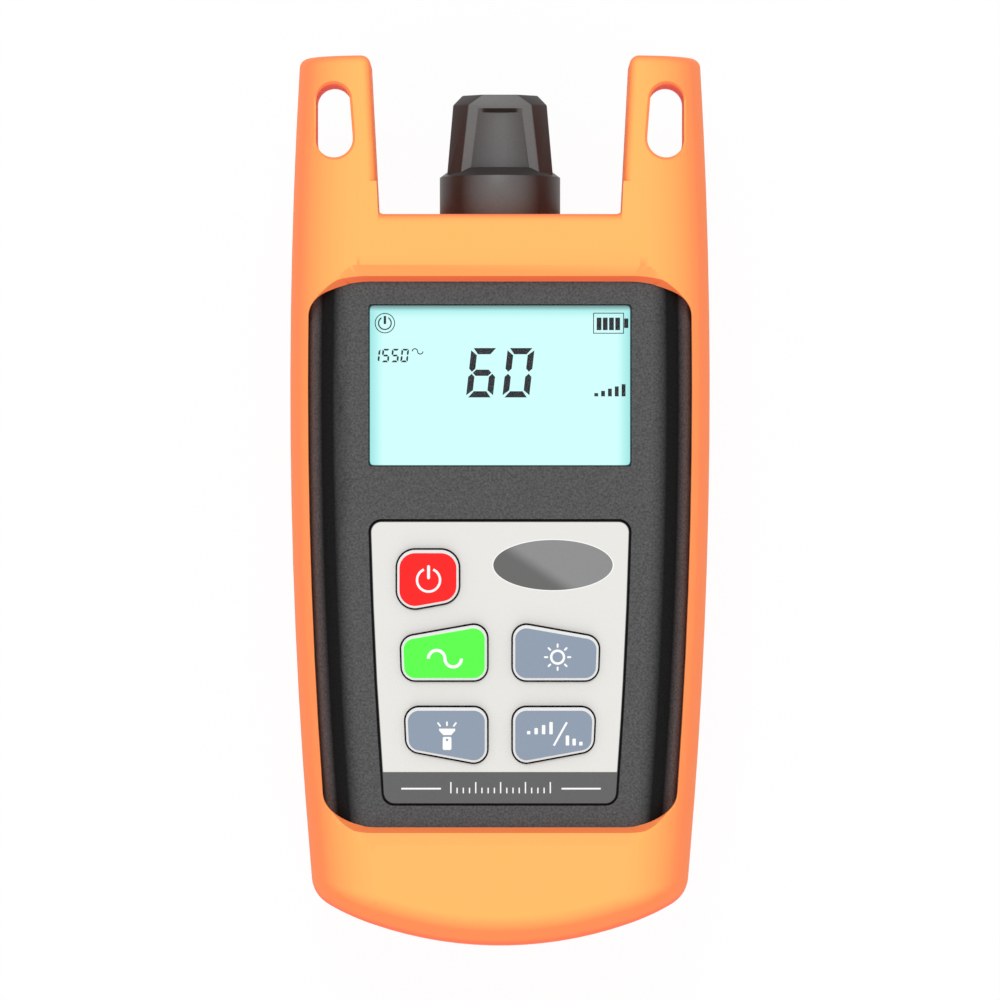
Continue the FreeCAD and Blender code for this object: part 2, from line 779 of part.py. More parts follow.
def make_board_screws():
    screws = []
    for x, y in post_places:
        head = along_z(board_head_radius, board_back - board_head_height, board_back, x, y)
        shank = along_z(board_screw_radius, board_back, board_front + board_screw_bite, x, y)
        screws.append(union([head, shank]))
    return Part.makeCompound(screws)


def make_processor():
    """Square package on two rows of leads."""
    half = processor_half
    x, y = processor_place
    body = box(x - half, x + half, y - half, y + half, board_back - processor_height,
               board_back - processor_lift)
    foot = half + lead_reach
    leads = []
    for i in range(processor_leads):
        along = x + (i + 0.5) * 2 * half / processor_leads - half
        leads.append(box(along - lead_half, along + lead_half, y - foot, y + foot, board_back - lead_thick,
                         board_back))
    return union([body] + leads)


def make_shield():
    """Soldered can, open towards the board."""
    x0, x1, y0, y1 = shield_box
    top = board_back - shield_height
    wall = shield_wall
    can = box(x0, x1, y0, y1, top, board_back)
    can = can.makeChamfer(shield_round, [e for e in can.Edges if e.BoundBox.ZMax < board_back - wall])
    return can.cut(box(x0 + wall, x1 - wall, y0 + wall, y1 - wall, top + shield_round, board_back + 1))


def make_buzzer():
    x, y = buzzer_place
    top = board_back - buzzer_height
    body = along_z(buzzer_radius, top, board_back, x, y)
    return body.cut(along_z(buzzer_hole, top - 1, top + buzzer_hole_deep, x, y))


save(make_board(), "main_board")
save(make_board_screws(), "board_screws")
save(make_processor(), "processor")
save(make_shield(), "amplifier_shield")
save(make_buzzer(), "buzzer")


# ---------------------------------------------------------------- fibre port
def hexagon_nut(across, y0, y1, bore):
    corner = across / math.sqrt(3)
    points = []
    for i in range(7):
        turn = math.radians(60 * i)
        points.append(V(corner * math.cos(turn), y0, port_z + corner * math.sin(turn)))
    nut = Part.Face(Part.makePolygon(points)).extrude(V(0, y1 - y0, 0))
    return nut.cut(along_y(bore, y0 - 1, y1 + 1))


def make_port():
    """Turned base: a flange outside the end wall and a threaded shank inside it."""
    port = union([along_y(shank_radius, shank_end, flange_front),
                  along_y(flange_radius, housing_top, flange_front)])
    port = port.cut(along_y(light_path_radius, shank_end - 1, flange_front + 1))
    return port.cut(along_y(diode_radius + diode_gap, shank_end - 1, shank_end + diode_sink))


def make_adapter():
    """Barrel on the base, with the ferrule's bore at its tip and the light path below it."""
    barrel = along_y(barrel_radius, flange_front, barrel_tip)
    barrel = barrel.makeChamfer(barrel_edge, flat_faces(barrel, "y", barrel_tip)[0].Edges)
    barrel = barrel.cut(along_y(port_bore, barrel_tip - bore_length - 1, barrel_tip + 1))
    return barrel.cut(along_y(light_path_radius, flange_front - 1, barrel_tip - bore_length))


def make_photodiode():
    back = shank_end - diode_tail
    can = along_y(diode_radius - diode_step, back, shank_end + diode_sink)
    rim = along_y(diode_radius, back, shank_end + diode_rim)
    leads = []
    for i in range(3):
        x = (i - 1) * diode_pitch
        leads.append(along_y(wire_radius, diode_lead_y, shank_end, x))
        leads.append(along_z(wire_radius, port_z, board_back, x, diode_lead_y + wire_radius))
    return union([can, rim] + leads)


save(make_port(), "optical_port")
nut = hexagon_nut(nut_across, inner_top - nut_thick, inner_top, shank_radius + thread_gap)
save(nut, "port_nut")
save(make_adapter(), "port_adapter")
save(make_photodiode(), "photodiode")


# ---------------------------------------------------------------- dust cap
def grip_outline(scale, y):
    half, side_flat, face_flat, depth = [value * scale for value in grip_foot]
    quarter = [(half, side_flat), (face_flat, depth)]
    points = quarter + [(-x, z) for x, z in reversed(quarter)]
    points += [(-x, -z) for x, z in points]
    points.append(points[0])
    return Part.makePolygon([V(x, y, port_z + z) for x, z in points])


def flute(turn):
    """Shallow concave channel down one face of the grip, closed by a curved end."""
    low = bay_floor + cap_collar - flute_sink

    def channel(half, y, face):
        middle = V(0, y, face - flute_depth)
        over = face + flute_over
        wire = Part.Wire([
            Part.Arc(V(-half, y, face), middle, V(half, y, face)).toShape(),
            Part.LineSegment(V(half, y, face), V(half, y, over)).toShape(),
            Part.LineSegment(V(half, y, over), V(-half, y, over)).toShape(),
            Part.LineSegment(V(-half, y, over), V(-half, y, face)).toShape(),
        ])
        return wire

    depth = grip_foot[3] if turn % 2 == 0 else grip_foot[0]
    foot_face = port_z + depth
    tip_face = port_z + depth * grip_shoulder_scale
    foot = channel(flute_foot_half, low, foot_face)
    tip = channel(flute_tip_half, flute_end, tip_face)
    return Part.makeLoft([foot, tip], True, True).rotate(V(0, 0, port_z), V(0, 1, 0), 90 * turn)


def make_dust_cap():
    low = bay_floor + cap_slack
    collar_top = bay_floor + cap_collar
    collar = along_y(cap_radius, low, collar_top)
    cone = Part.makeCone(cap_radius, cap_neck, cap_cone, V(0, collar_top, port_z), V(0, 1, 0))
    foot = grip_outline(1, collar_top - grip_sink)
    shoulder = grip_outline(grip_shoulder_scale, cap_shoulder)
    grip = Part.makeLoft([foot, shoulder], True, True)
    tip = Part.makeLoft([shoulder, grip_outline(grip_tip_scale, cap_grip_tip)], True, True)
    for turn in range(4):
        grip = grip.cut(flute(turn))
    cap = union([collar, cone, grip, tip])
    cap = cap.makeChamfer(cap_edge, flat_faces(cap, "y", low)[0].Edges)
    cap = cap.cut(along_y(barrel_radius + cap_bore_gap, low - 1, seal_front))
    return cap.cut(along_y(seal_radius + cap_floor_gap, seal_front - 1, seal_back + cap_floor_gap))


save(make_dust_cap(), "dust_cap")
save(along_y(seal_radius, seal_front, seal_back), "cap_seal")


# ---------------------------------------------------------------- torch
def make_torch_lens():
    low = inner_top - torch_rim_thick
    rim = bay_floor - torch_sunk
    lens = union([along_y(torch_radius, low, rim, torch_x),
                  along_y(torch_radius + torch_rim, low, inner_top, torch_x)])
    centre = rim - math.sqrt(torch_dome ** 2 - torch_radius ** 2)
    dome = Part.makeSphere(torch_dome, V(torch_x, centre, port_z))
    return union([lens, dome.common(box(0, reach, rim, reach, 0, thickness))])


def make_torch_led():
    tip = inner_top - torch_rim_thick
    foot = tip - led_body
    base = foot - led_base
    body = union([along_y(led_radius, foot, tip, torch_x), along_y(led_base_radius, base, foot, torch_x)])
    leads = []
    for x in (torch_x - led_lead_half, torch_x + led_lead_half):
        leads.append(along_y(wire_radius, base - led_lead_length, foot, x))
        leads.append(along_z(wire_radius, port_z, board_back, x, base - led_lead_length + wire_radius))
    return union([body] + leads)


save(make_torch_lens(), "torch_lens")
save(make_torch_led(), "torch_led")


# ---------------------------------------------------------------- batteries
def make_cells():
    cells = []
    for i, facing in enumerate((1, -1, 1)):
        x = (i - 1) * cell_pitch
        tip = (cell_bay_high - contact_thick) if facing > 0 else (cell_bay_low + contact_thick)
        nub_base = tip - facing * cell_nub
        base = tip - facing * cell_length
        can = along_y(cell_radius, min(base, nub_base), max(base, nub_base), x, cell_axis_z)
        nub = along_y(cell_nub_radius, min(nub_base, tip), max(nub_base, tip), x, cell_axis_z)
        cells.append(union([can, nub]))
    return Part.makeCompound(cells)


def make_contacts():
    plates = []
    springs = []
    for i, facing in enumerate((1, -1, 1)):
        x = (i - 1) * cell_pitch
        wall = cell_bay_high if facing > 0 else cell_bay_low
        y0, y1 = sorted((wall, wall - facing * contact_thick))
        plates.append(box(x - contact_half, x + contact_half, y0, y1, contact_low,
                          cell_axis_z + contact_half))
        other = cell_bay_low if facing > 0 else cell_bay_high
        bow = cell_bay_high - cell_bay_low - contact_thick - cell_length
        springs.append(leaf_spring(x, other, facing, bow))
    return Part.makeCompound(plates), Part.makeCompound(springs)


def leaf_spring(x, wall, facing, bow):
    """Bowed strip between the bay's end wall and the flat end of a cell."""
    low = contact_low
    high = cell_axis_z + contact_half + spring_rise
    middle = (low + high) / 2
    outer = Part.Arc(V(x, wall, low), V(x, wall + facing * bow, middle), V(x, wall, high))
    inner_low = V(x, wall, low + contact_thick)
    inner_high = V(x, wall, high - contact_thick)
    inner = Part.Arc(inner_high, V(x, wall + facing * (bow - contact_thick), middle), inner_low)
    top = Part.LineSegment(V(x, wall, high), inner_high)
    foot = Part.LineSegment(inner_low, V(x, wall, low))
    strip = Part.Face(Part.Wire([line.toShape() for line in (outer, top, inner, foot)]))
    strip.translate(V(-spring_half, 0, 0))
    return strip.extrude(V(2 * spring_half, 0, 0))


def make_battery_door():
    """Plate in its ledge, with two tongues at the lower edge, a latch tab and grip grooves."""
    inner = housing_rear + door_thick
    door = box(-door_half, door_half, door_low, door_high, housing_rear, inner)
    door = door.makeFillet(door_corner, upright_edges(door))
    latch = box(-latch_half, latch_half, door_high - latch_near, door_high - latch_far,
                inner, inner + latch_height)
    pieces = [door, latch]
    low = inner + tongue_lift
    high = low + tongue_thick
    for x in (-tongue_x, tongue_x):
        x0 = x - tongue_half
        x1 = x + tongue_half
        pieces.append(box(x0, x1, door_low, door_low + tongue_foot, inner, high))
        pieces.append(box(x0, x1, door_low - tongue_reach, door_low, low, high))
    door = union(pieces)
    for i in range(groove_count):
        y = door_high - groove_start - groove_pitch * i
        start = V(-groove_half, y, housing_rear - groove_above)
        door = door.cut(Part.makeCylinder(groove_radius, 2 * groove_half, start, V(1, 0, 0)))
    return door


save(make_cells(), "battery_cells")
contact_plates, contact_springs = make_contacts()
save(contact_plates, "battery_contacts")
save(contact_springs, "battery_springs")
save(make_battery_door(), "battery_door")
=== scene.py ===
import bpy
import bmesh
import math
from mathutils import Matrix, Vector


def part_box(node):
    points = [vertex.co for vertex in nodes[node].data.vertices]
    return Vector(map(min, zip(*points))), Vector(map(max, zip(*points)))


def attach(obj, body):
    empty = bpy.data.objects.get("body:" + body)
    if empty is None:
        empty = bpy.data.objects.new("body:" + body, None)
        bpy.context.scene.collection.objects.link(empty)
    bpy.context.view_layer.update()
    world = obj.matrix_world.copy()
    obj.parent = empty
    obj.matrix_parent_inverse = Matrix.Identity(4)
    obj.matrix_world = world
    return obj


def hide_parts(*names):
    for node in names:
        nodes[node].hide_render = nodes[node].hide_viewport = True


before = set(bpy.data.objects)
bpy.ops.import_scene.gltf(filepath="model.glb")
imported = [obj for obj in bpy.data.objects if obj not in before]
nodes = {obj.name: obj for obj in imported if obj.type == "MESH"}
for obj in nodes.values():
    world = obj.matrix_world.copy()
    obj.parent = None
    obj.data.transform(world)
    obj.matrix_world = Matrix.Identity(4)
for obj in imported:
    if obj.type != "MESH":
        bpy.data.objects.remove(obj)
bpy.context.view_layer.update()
mm = 0.001


# camera, light and floor
def makeCamera():
    shot = {"height": 0.950, "pinPlane": 0.0235, "frameWidth": 0.1350, "sensor": 36.0, "near": 0.01, "far": 20.0}
    eye = bpy.data.cameras.new("overhead")
    eye.sensor_width = shot["sensor"]
    eye.lens = eye.sensor_width * shot["height"] / shot["frameWidth"]
    eye.dof.use_dof = False
    eye.clip_start, eye.clip_end = shot["near"], shot["far"]
    camera = bpy.data.objects.new("overhead", eye)
    camera.location = (0.0, 0.0, shot["height"] + shot["pinPlane"])
    bpy.context.scene.collection.objects.link(camera)
    bpy.context.scene.camera = camera


def addLamp(name, place, aim, size, power):
    lamp = bpy.data.lights.new(name, "AREA")
    lamp.shape = "SQUARE"
    lamp.size = size
    lamp.energy = power
    holder = bpy.data.objects.new(name, lamp)
    holder.location = place
    holder.rotation_euler = (Vector(aim) - Vector(place)).to_track_quat("-Z", "Y").to_euler()
    bpy.context.scene.collection.objects.link(holder)


# One math node; each part is a number or another node's output.
def calc(tree, kind, *parts):
    node = tree.nodes.new("ShaderNodeMath")
    node.operation = kind
    for i, part in enumerate(parts):
        if isinstance(part, (int, float)):
            node.inputs[i].default_value = part
        else:
            tree.links.new(part, node.inputs[i])
    return node.outputs[0]


# Two colours mixed by a factor; each is a colour or another node's output.
def tinted(tree, factor, below, above):
    mixed = tree.nodes.new("ShaderNodeMix")
    mixed.data_type = "RGBA"
    tree.links.new(factor, mixed.inputs["Factor"])
    for name, colour in (("A", below), ("B", above)):
        if isinstance(colour, tuple):
            mixed.inputs[name].default_value = (*colour, 1.0)
        else:
            tree.links.new(colour, mixed.inputs[name])
    return mixed.outputs["Result"]


# 1 where the eye, a mirror or glass looks straight at the surface.
def seenDirectly(tree):
    path = tree.nodes.new("ShaderNodeLightPath")
    eyeOrMirror = calc(tree, "MAXIMUM", path.outputs["Is Camera Ray"], path.outputs["Is Glossy Ray"])
    return calc(tree, "MAXIMUM", eyeOrMirror, path.outputs["Is Transmission Ray"])


def makeStudio():
    studio = {"skyLevel": 0.78, "keyPower": 3.4, "keyPlace": (-0.08, 0.60, 0.92), "keySize": 0.3,
              "fillPower": 2.3, "fillPlace": (0.0, -0.85, 0.55), "fillSize": 0.7, "floorSize": 6.0, "floorWhite": 0.95,
              "floorRough": 0.9, "floorGloss": 0.1, "floorDrop": 0.05 * mm, "shadowShare": 0.05}
    world = bpy.data.worlds.new("studio")
    bpy.context.scene.world = world
    world.use_nodes = True
    tree = world.node_tree
    sky = tree.nodes["Background"]
    sky.inputs["Color"].default_value = (1.0, 1.0, 1.0, 1.0)
    level = tree.nodes.new("ShaderNodeMapRange")
    level.inputs["To Min"].default_value = studio["skyLevel"]
    level.inputs["To Max"].default_value = 1.0
    tree.links.new(seenDirectly(tree), level.inputs["Value"])
    tree.links.new(level.outputs["Result"], sky.inputs["Strength"])
    addLamp("keyLamp", studio["keyPlace"], (0.0, 0.0, 0.0), studio["keySize"], studio["keyPower"])
    addLamp("fillLamp", studio["fillPlace"], (0.0, 0.0, 0.0), studio["fillSize"], studio["fillPower"])

    bm = bmesh.new()
    bmesh.ops.create_grid(bm, x_segments=1, y_segments=1, size=studio["floorSize"] / 2)
    mesh = bpy.data.meshes.new("floor")
    bm.to_mesh(mesh)
    bm.free()
    floor = bpy.data.objects.new("floor", mesh)
    floor.location.z = -studio["floorDrop"]
    bpy.context.scene.collection.objects.link(floor)
    finish = bpy.data.materials.new("paleFloor")
    finish.use_nodes = True
    tree = finish.node_tree
    plain = tree.nodes["Principled BSDF"]
    white = studio["floorWhite"]
    plain.inputs["Base Color"].default_value = (white, white, white, 1.0)
    plain.inputs["Roughness"].default_value = studio["floorRough"]
    plain.inputs["Specular IOR Level"].default_value = studio["floorGloss"]
    glow = tree.nodes.new("ShaderNodeEmission")
    blend = tree.nodes.new("ShaderNodeMixShader")
    share = calc(tree, "MULTIPLY", seenDirectly(tree), 1.0 - studio["shadowShare"])
    tree.links.new(share, blend.inputs["Fac"])
    tree.links.new(plain.outputs["BSDF"], blend.inputs[1])
    tree.links.new(glow.outputs["Emission"], blend.inputs[2])
    tree.links.new(blend.outputs["Shader"], tree.nodes["Material Output"].inputs["Surface"])
    mesh.materials.append(finish)
    bpy.context.scene.view_settings.view_transform = "Standard"


makeCamera()
makeStudio()
print("camera, light and floor are set")


# shared effects
def groupSocket(group, name, way, kind, value=None):
    socket = group.interface.new_socket(name=name, in_out=way, socket_type=kind)
    if value is not None:
        socket.default_value = value


# Moulded surface with painted shade and highlight: one colour on the face, a second, painted shade, where the wall
# turns away from it, and a third beyond that, deeper painted shade on the sleeve and a painted highlight on the shell,
# with fine speckle. Lean counts a wall that drops towards -Y, away from the key lamp, as turned further: more painted
# shade.
def makeShadeAndGrainGroup():
    grain = {"detail": 2.0, "rough": 0.6, "low": 0.3, "high": 0.7, "broadScale": 90.0, "broadDetail": 3.0}
    group = bpy.data.node_groups.new("grainAndTurnShade", "ShaderNodeTree")
    for name in ("Face", "Flank Shade", "Rim Shade And Highlight"):
        groupSocket(group, name, "INPUT", "NodeSocketColor", (0.8, 0.8, 0.8, 1.0))
    plainInputs = {"Turn Start": 0.0, "Turn End": 1.0, "Rim Start": 1.5, "Rim End": 2.0, "Shade Lean": 0.0, "Speckle": 0.1,
                   "Grain Scale": 4000.0, "Roughness": 0.5, "Roughness Change": 0.05}
    for name, value in plainInputs.items():
        groupSocket(group, name, "INPUT", "NodeSocketFloat", value)
    groupSocket(group, "Color", "OUTPUT", "NodeSocketColor")
    groupSocket(group, "Roughness", "OUTPUT", "NodeSocketFloat")
    groupSocket(group, "Height", "OUTPUT", "NodeSocketFloat")
    make = group.nodes.new
    link = group.links.new
    start = make("NodeGroupInput")
    end = make("NodeGroupOutput")
    place = make("ShaderNodeTexCoord")
    split = make("ShaderNodeSeparateXYZ")
    link(place.outputs["Normal"], split.inputs[0])
    # how far the wall turns from the front, plus its lean towards -Y, sets where the painted shade falls
    away = calc(group, "SUBTRACT", 1.0, calc(group, "ABSOLUTE", split.outputs["Z"]))
    lowWard = calc(group, "MAXIMUM", calc(group, "MULTIPLY", split.outputs["Y"], -1.0), 0.0)
    turned = calc(group, "MULTIPLY_ADD", lowWard, start.outputs["Shade Lean"], away)
    colour = start.outputs["Face"]
    for name, low, high in (("Flank Shade", "Turn Start", "Turn End"), ("Rim Shade And Highlight", "Rim Start", "Rim End")):
        step = make("ShaderNodeMapRange")
        link(turned, step.inputs["Value"])
        link(start.outputs[low], step.inputs["From Min"])
        link(start.outputs[high], step.inputs["From Max"])
        colour = tinted(group, step.outputs["Result"], colour, start.outputs[name])
    fine = make("ShaderNodeTexNoise")
    fine.inputs["Detail"].default_value = grain["detail"]
    fine.inputs["Roughness"].default_value = grain["rough"]
    link(place.outputs["Object"], fine.inputs["Vector"])
    link(start.outputs["Grain Scale"], fine.inputs["Scale"])
    level = make("ShaderNodeMapRange")
    level.inputs["From Min"].default_value = grain["low"]
    level.inputs["From Max"].default_value = grain["high"]
    level.inputs["To Min"].default_value = -1.0
    level.inputs["To Max"].default_value = 1.0
    link(fine.outputs["Fac"], level.inputs["Value"])
    shade = make("ShaderNodeVectorMath")
    shade.operation = "SCALE"
    link(colour, shade.inputs[0])
    link(calc(group, "MULTIPLY_ADD", level.outputs["Result"], start.outputs["Speckle"], 1.0), shade.inputs["Scale"])
    link(shade.outputs["Vector"], end.inputs["Color"])
    broad = make("ShaderNodeTexNoise")
    broad.inputs["Scale"].default_value = grain["broadScale"]
    broad.inputs["Detail"].default_value = grain["broadDetail"]
    link(place.outputs["Object"], broad.inputs["Vector"])
    wander = calc(group, "SUBTRACT", broad.outputs["Fac"], 0.5)
    polish = calc(group, "MULTIPLY_ADD", wander, start.outputs["Roughness Change"], start.outputs["Roughness"])
    link(polish, end.inputs["Roughness"])
    link(fine.outputs["Fac"], end.inputs["Height"])
    return group


shadeAndGrain = makeShadeAndGrainGroup()


# One moulded, printed or turned finish from its own dictionary; where it gives flank and rim colours, these are painted
# shade and painted highlight on walls that turn from the front.
def makeFinish(name, look):
    finish = bpy.data.materials.new(name)
    finish.use_nodes = True
    tree = finish.node_tree
    shader = tree.nodes["Principled BSDF"]
    skin = tree.nodes.new("ShaderNodeGroup")
    skin.node_tree = shadeAndGrain
    flankShade = look.get("flankShade", look["face"])
    for socket, colour in (("Face", look["face"]), ("Flank Shade", flankShade), ("Rim Shade And Highlight", look.get("rim", flankShade))):
        skin.inputs[socket].default_value = (*colour, 1.0)
    turnStart, turnEnd = look.get("turn", (0.0, 1.0))
    rimStart, rimEnd = look.get("rimTurn", (1.5, 2.0))
    values = {"Turn Start": turnStart, "Turn End": turnEnd, "Rim Start": rimStart, "Rim End": rimEnd,
              "Shade Lean": look.get("lean", 0.0), "Speckle": look.get("speckle", 0.03),
              "Grain Scale": look.get("grain", 4000.0), "Roughness": look.get("rough", 0.5),
              "Roughness Change": look.get("roughChange", 0.1)}
    for socket, value in values.items():
        skin.inputs[socket].default_value = value
    tree.links.new(skin.outputs["Color"], shader.inputs["Base Color"])
    tree.links.new(skin.outputs["Roughness"], shader.inputs["Roughness"])
    bump = tree.nodes.new("ShaderNodeBump")
    bump.inputs["Strength"].default_value = look.get("bump", 0.1)
    bump.inputs["Distance"].default_value = look.get("grainDepth", 0.02) * mm
    tree.links.new(skin.outputs["Height"], bump.inputs["Height"])
    tree.links.new(bump.outputs["Normal"], shader.inputs["Normal"])
    shader.inputs["Metallic"].default_value = look.get("metal", 0.0)
    shader.inputs["Specular IOR Level"].default_value = look.get("gloss", 0.4)
    shader.inputs["Coat Weight"].default_value = look.get("coat", 0.0)
    shader.inputs["Coat Roughness"].default_value = look.get("coatRough", 0.2)
    return finish


# Gives built parts their finish.
def dress(material, *names):
    for name in names:
        mesh = nodes[name].data
        mesh.materials.clear()
        mesh.materials.append(material)


# orange sleeve: flank and rim are painted shade, deeper on turned walls and on walls that drop towards -Y
orange = makeFinish("orangeRubber", {
    "face": (1.0, 0.455, 0.118), "flankShade": (1.0, 0.245, 0.074), "turn": (0.0, 0.5), "rim": (1.0, 0.155, 0.054),
    "rimTurn": (0.95, 1.25), "lean": 0.72, "speckle": 0.012, "grain": 5200.0, "rough": 0.62, "bump": 0.12,
    "gloss": 0.25})
# black shell: flank is painted shade in the turned valley beside the sleeve, rim a painted highlight on the steepest
# wall
black = makeFinish("blackShell", {
    "face": (0.084, 0.084, 0.085), "flankShade": (0.007, 0.007, 0.0075), "turn": (0.0, 0.09), "rim": (0.20, 0.20, 0.205),
    "rimTurn": (0.25, 0.5), "speckle": 0.34, "grain": 3400.0, "rough": 0.6, "bump": 0.25, "grainDepth": 0.03,
    "gloss": 0.08})
backBlack = makeFinish("blackBack", {
    "face": (0.070, 0.070, 0.070), "speckle": 0.2, "grain": 4200.0, "rough": 0.58, "bump": 0.25, "grainDepth": 0.03,
    "gloss": 0.25})
# key plate: flank is painted shade, near black on the walls of the key holes and the plate's edge
pale = makeFinish("palePlate", {
    "face": (0.735, 0.728, 0.698), "flankShade": (0.006, 0.006, 0.006), "turn": (0.02, 0.12), "speckle": 0.01, "rough": 0.45,
    "bump": 0.05, "gloss": 0.2})
# key bodies: flank is painted shade on the steep key sides
keyBody = makeFinish("keyBody", {
    "face": (0.80, 0.805, 0.80), "flankShade": (0.006, 0.006, 0.006), "turn": (0.5, 0.8), "speckle": 0.01, "rough": 0.4,
    "bump": 0.05, "gloss": 0.2})
redPrint = makeFinish("redKey", {"face": (1.0, 0.014, 0.014), "speckle": 0.02, "rough": 0.45, "gloss": 0.2})
greenPrint = makeFinish("greenKey", {"face": (0.090, 0.96, 0.058), "speckle": 0.02, "rough": 0.45, "gloss": 0.3})
greyPrint = makeFinish("greyKey", {"face": (0.245, 0.300, 0.382), "speckle": 0.02, "rough": 0.45, "gloss": 0.3})
whitePrint = makeFinish("whiteInk", {"face": (0.9, 0.9, 0.9), "speckle": 0.01, "rough": 0.5, "gloss": 0.2})
darkMark = makeFinish("displayMark", {"face": (0.03, 0.03, 0.036), "speckle": 0.01, "rough": 0.6, "gloss": 0.1})
# cap: flank is painted shade on the grip's turned walls and flutes
capPlastic = makeFinish("capPlastic", {
    "face": (0.118, 0.120, 0.120), "flankShade": (0.027, 0.023, 0.022), "turn": (0.005, 0.24), "speckle": 0.05,
    "grain": 3000.0, "rough": 0.42, "bump": 0.12, "gloss": 0.35})
blackPlain = makeFinish("blackPlain", {"face": (0.03, 0.03, 0.03), "rough": 0.5})
nickel = makeFinish("nickel", {"face": (0.72, 0.70, 0.66), "speckle": 0.02, "rough": 0.22, "metal": 1.0, "gloss": 0.5})
steel = makeFinish("steel", {"face": (0.5, 0.5, 0.5), "speckle": 0.04, "rough": 0.32, "metal": 1.0, "gloss": 0.5})
tin = makeFinish("tin", {"face": (0.66, 0.66, 0.64), "speckle": 0.05, "rough": 0.38, "metal": 1.0, "gloss": 0.5})
boardGreen = makeFinish("boardCoat", {"face": (0.02, 0.16, 0.06), "speckle": 0.1, "rough": 0.35})
milk = makeFinish("milkPlastic", {"face": (0.8, 0.8, 0.78), "rough": 0.5})
jacket = makeFinish("cellJacket", {"face": (0.10, 0.11, 0.13), "rough": 0.3, "coat": 0.3})
ledPlastic = makeFinish("ledPlastic", {"face": (0.85, 0.85, 0.8), "rough": 0.15})

dress(black, "front_shell")
dress(backBlack, "rear_shell", "battery_door")
dress(keyBody, "key_power", "key_wavelength", "key_backlight", "key_torch", "key_reference")
dress(blackPlain, "contact_strips", "key_switches", "buzzer", "processor", "plunger_power",
      "plunger_wavelength", "plunger_backlight", "plunger_torch", "plunger_reference")
dress(nickel, "optical_port", "port_nut", "port_adapter")
dress(steel, "housing_screws", "board_screws")
dress(tin, "amplifier_shield", "photodiode", "battery_contacts", "battery_springs")
dress(boardGreen, "main_board")
dress(milk, "display_frame", "backlight_panel")
dress(jacket, "battery_cells")
dress(ledPlastic, "torch_led")


def makeGlass(name, look):
    finish = bpy.data.materials.new(name)
    finish.use_nodes = True
    shader = finish.node_tree.nodes["Principled BSDF"]
    shader.inputs["Base Color"].default_value = (*look["tint"], 1.0)
    shader.inputs["Roughness"].default_value = look["rough"]
    shader.inputs["IOR"].default_value = look["bend"]
    shader.inputs["Transmission Weight"].default_value = 1.0
    return finish


dress(makeGlass("windowGlass", {"tint": (1.0, 1.0, 1.0), "rough": 0.02, "bend": 1.25}), "display_window")
dress(makeGlass("torchGlass", {"tint": (0.95, 0.97, 1.0), "rough": 0.02, "bend": 1.45}), "torch_lens")


windowLow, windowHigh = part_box("display_window")
hiddenRim = 1.4 * mm    # glass behind the shell on each side
openingLow = windowLow + Vector((hiddenRim, hiddenRim, 0))
openingHigh = windowHigh - Vector((hiddenRim, hiddenRim, 0))


# Backlit glass: even light in the middle, with painted shade near its sides and top, deeper and bluer towards the edge,
# as if cast by the shell's rim, and a dark frame line.
def makeLitPanel():
    look = {"middle": (0.638, 1.0, 0.982), "edge": (0.36, 0.80, 0.79), "edgeFrom": 0.05 * mm, "edgeTo": 2.3 * mm,
            "shade": (0.19, 0.34, 0.33), "shadeFrom": 0.2 * mm, "shadeTo": 1.0 * mm, "line": (0.012, 0.02, 0.02),
            "lineFrom": 0.128 * mm, "lineTo": 0.256 * mm, "cornerRound": 0.9 * mm, "unlit": (0.02, 0.03, 0.03)}
    finish = bpy.data.materials.new("litPanel")
    finish.use_nodes = True
    tree = finish.node_tree
    shader = tree.nodes["Principled BSDF"]
    shader.inputs["Base Color"].default_value = (*look["unlit"], 1.0)
    shader.inputs["Specular IOR Level"].default_value = 0.0
    shader.inputs["Emission Strength"].default_value = 1.0
    spot = tree.nodes.new("ShaderNodeTexCoord")
    split = tree.nodes.new("ShaderNodeSeparateXYZ")
    tree.links.new(spot.outputs["Object"], split.inputs[0])

    # Distance in from the nearer of two opposite edges.
    def inward(axis, low, high):
        fromMiddle = calc(tree, "ABSOLUTE", calc(tree, "SUBTRACT", split.outputs[axis], (low + high) / 2))
        return calc(tree, "SUBTRACT", (high - low) / 2, fromMiddle)

    # Lays a colour over the one below, full up to one distance and gone at the next.
    def layer(below, name, value):
        fade = tree.nodes.new("ShaderNodeMapRange")
        fade.interpolation_type = "SMOOTHSTEP"
        fade.inputs["From Min"].default_value = look[name + "From"]
        fade.inputs["From Max"].default_value = look[name + "To"]
        fade.inputs["To Min"].default_value = 1.0
        fade.inputs["To Max"].default_value = 0.0
        tree.links.new(value, fade.inputs["Value"])
        return tinted(tree, fade.outputs["Result"], below, look[name])

    across = inward("X", openingLow.x, openingHigh.x)
    along = inward("Y", openingLow.y, openingHigh.y)
    nearest = calc(tree, "SMOOTH_MIN", across, along, look["cornerRound"])
    belowTop = calc(tree, "SUBTRACT", openingHigh.y, split.outputs["Y"])
    sidesAndTop = calc(tree, "SMOOTH_MIN", across, belowTop, look["cornerRound"])
    # painted shade: the edge layer along the sides and top, the shade layer under the top edge
    colour = layer(look["middle"], "edge", sidesAndTop)
    colour = layer(colour, "shade", belowTop)
    colour = layer(colour, "line", nearest)
    tree.links.new(colour, shader.inputs["Emission Color"])
    return finish


dress(makeLitPanel(), "lcd_panel")
print("finishes are on the built parts")


# moulded pieces
# how near points or how short edges must be to become one, by what made them
join = {"sliver": 0.01 * mm, "spun": 0.005 * mm, "cut": 0.004 * mm, "built": 0.002 * mm}


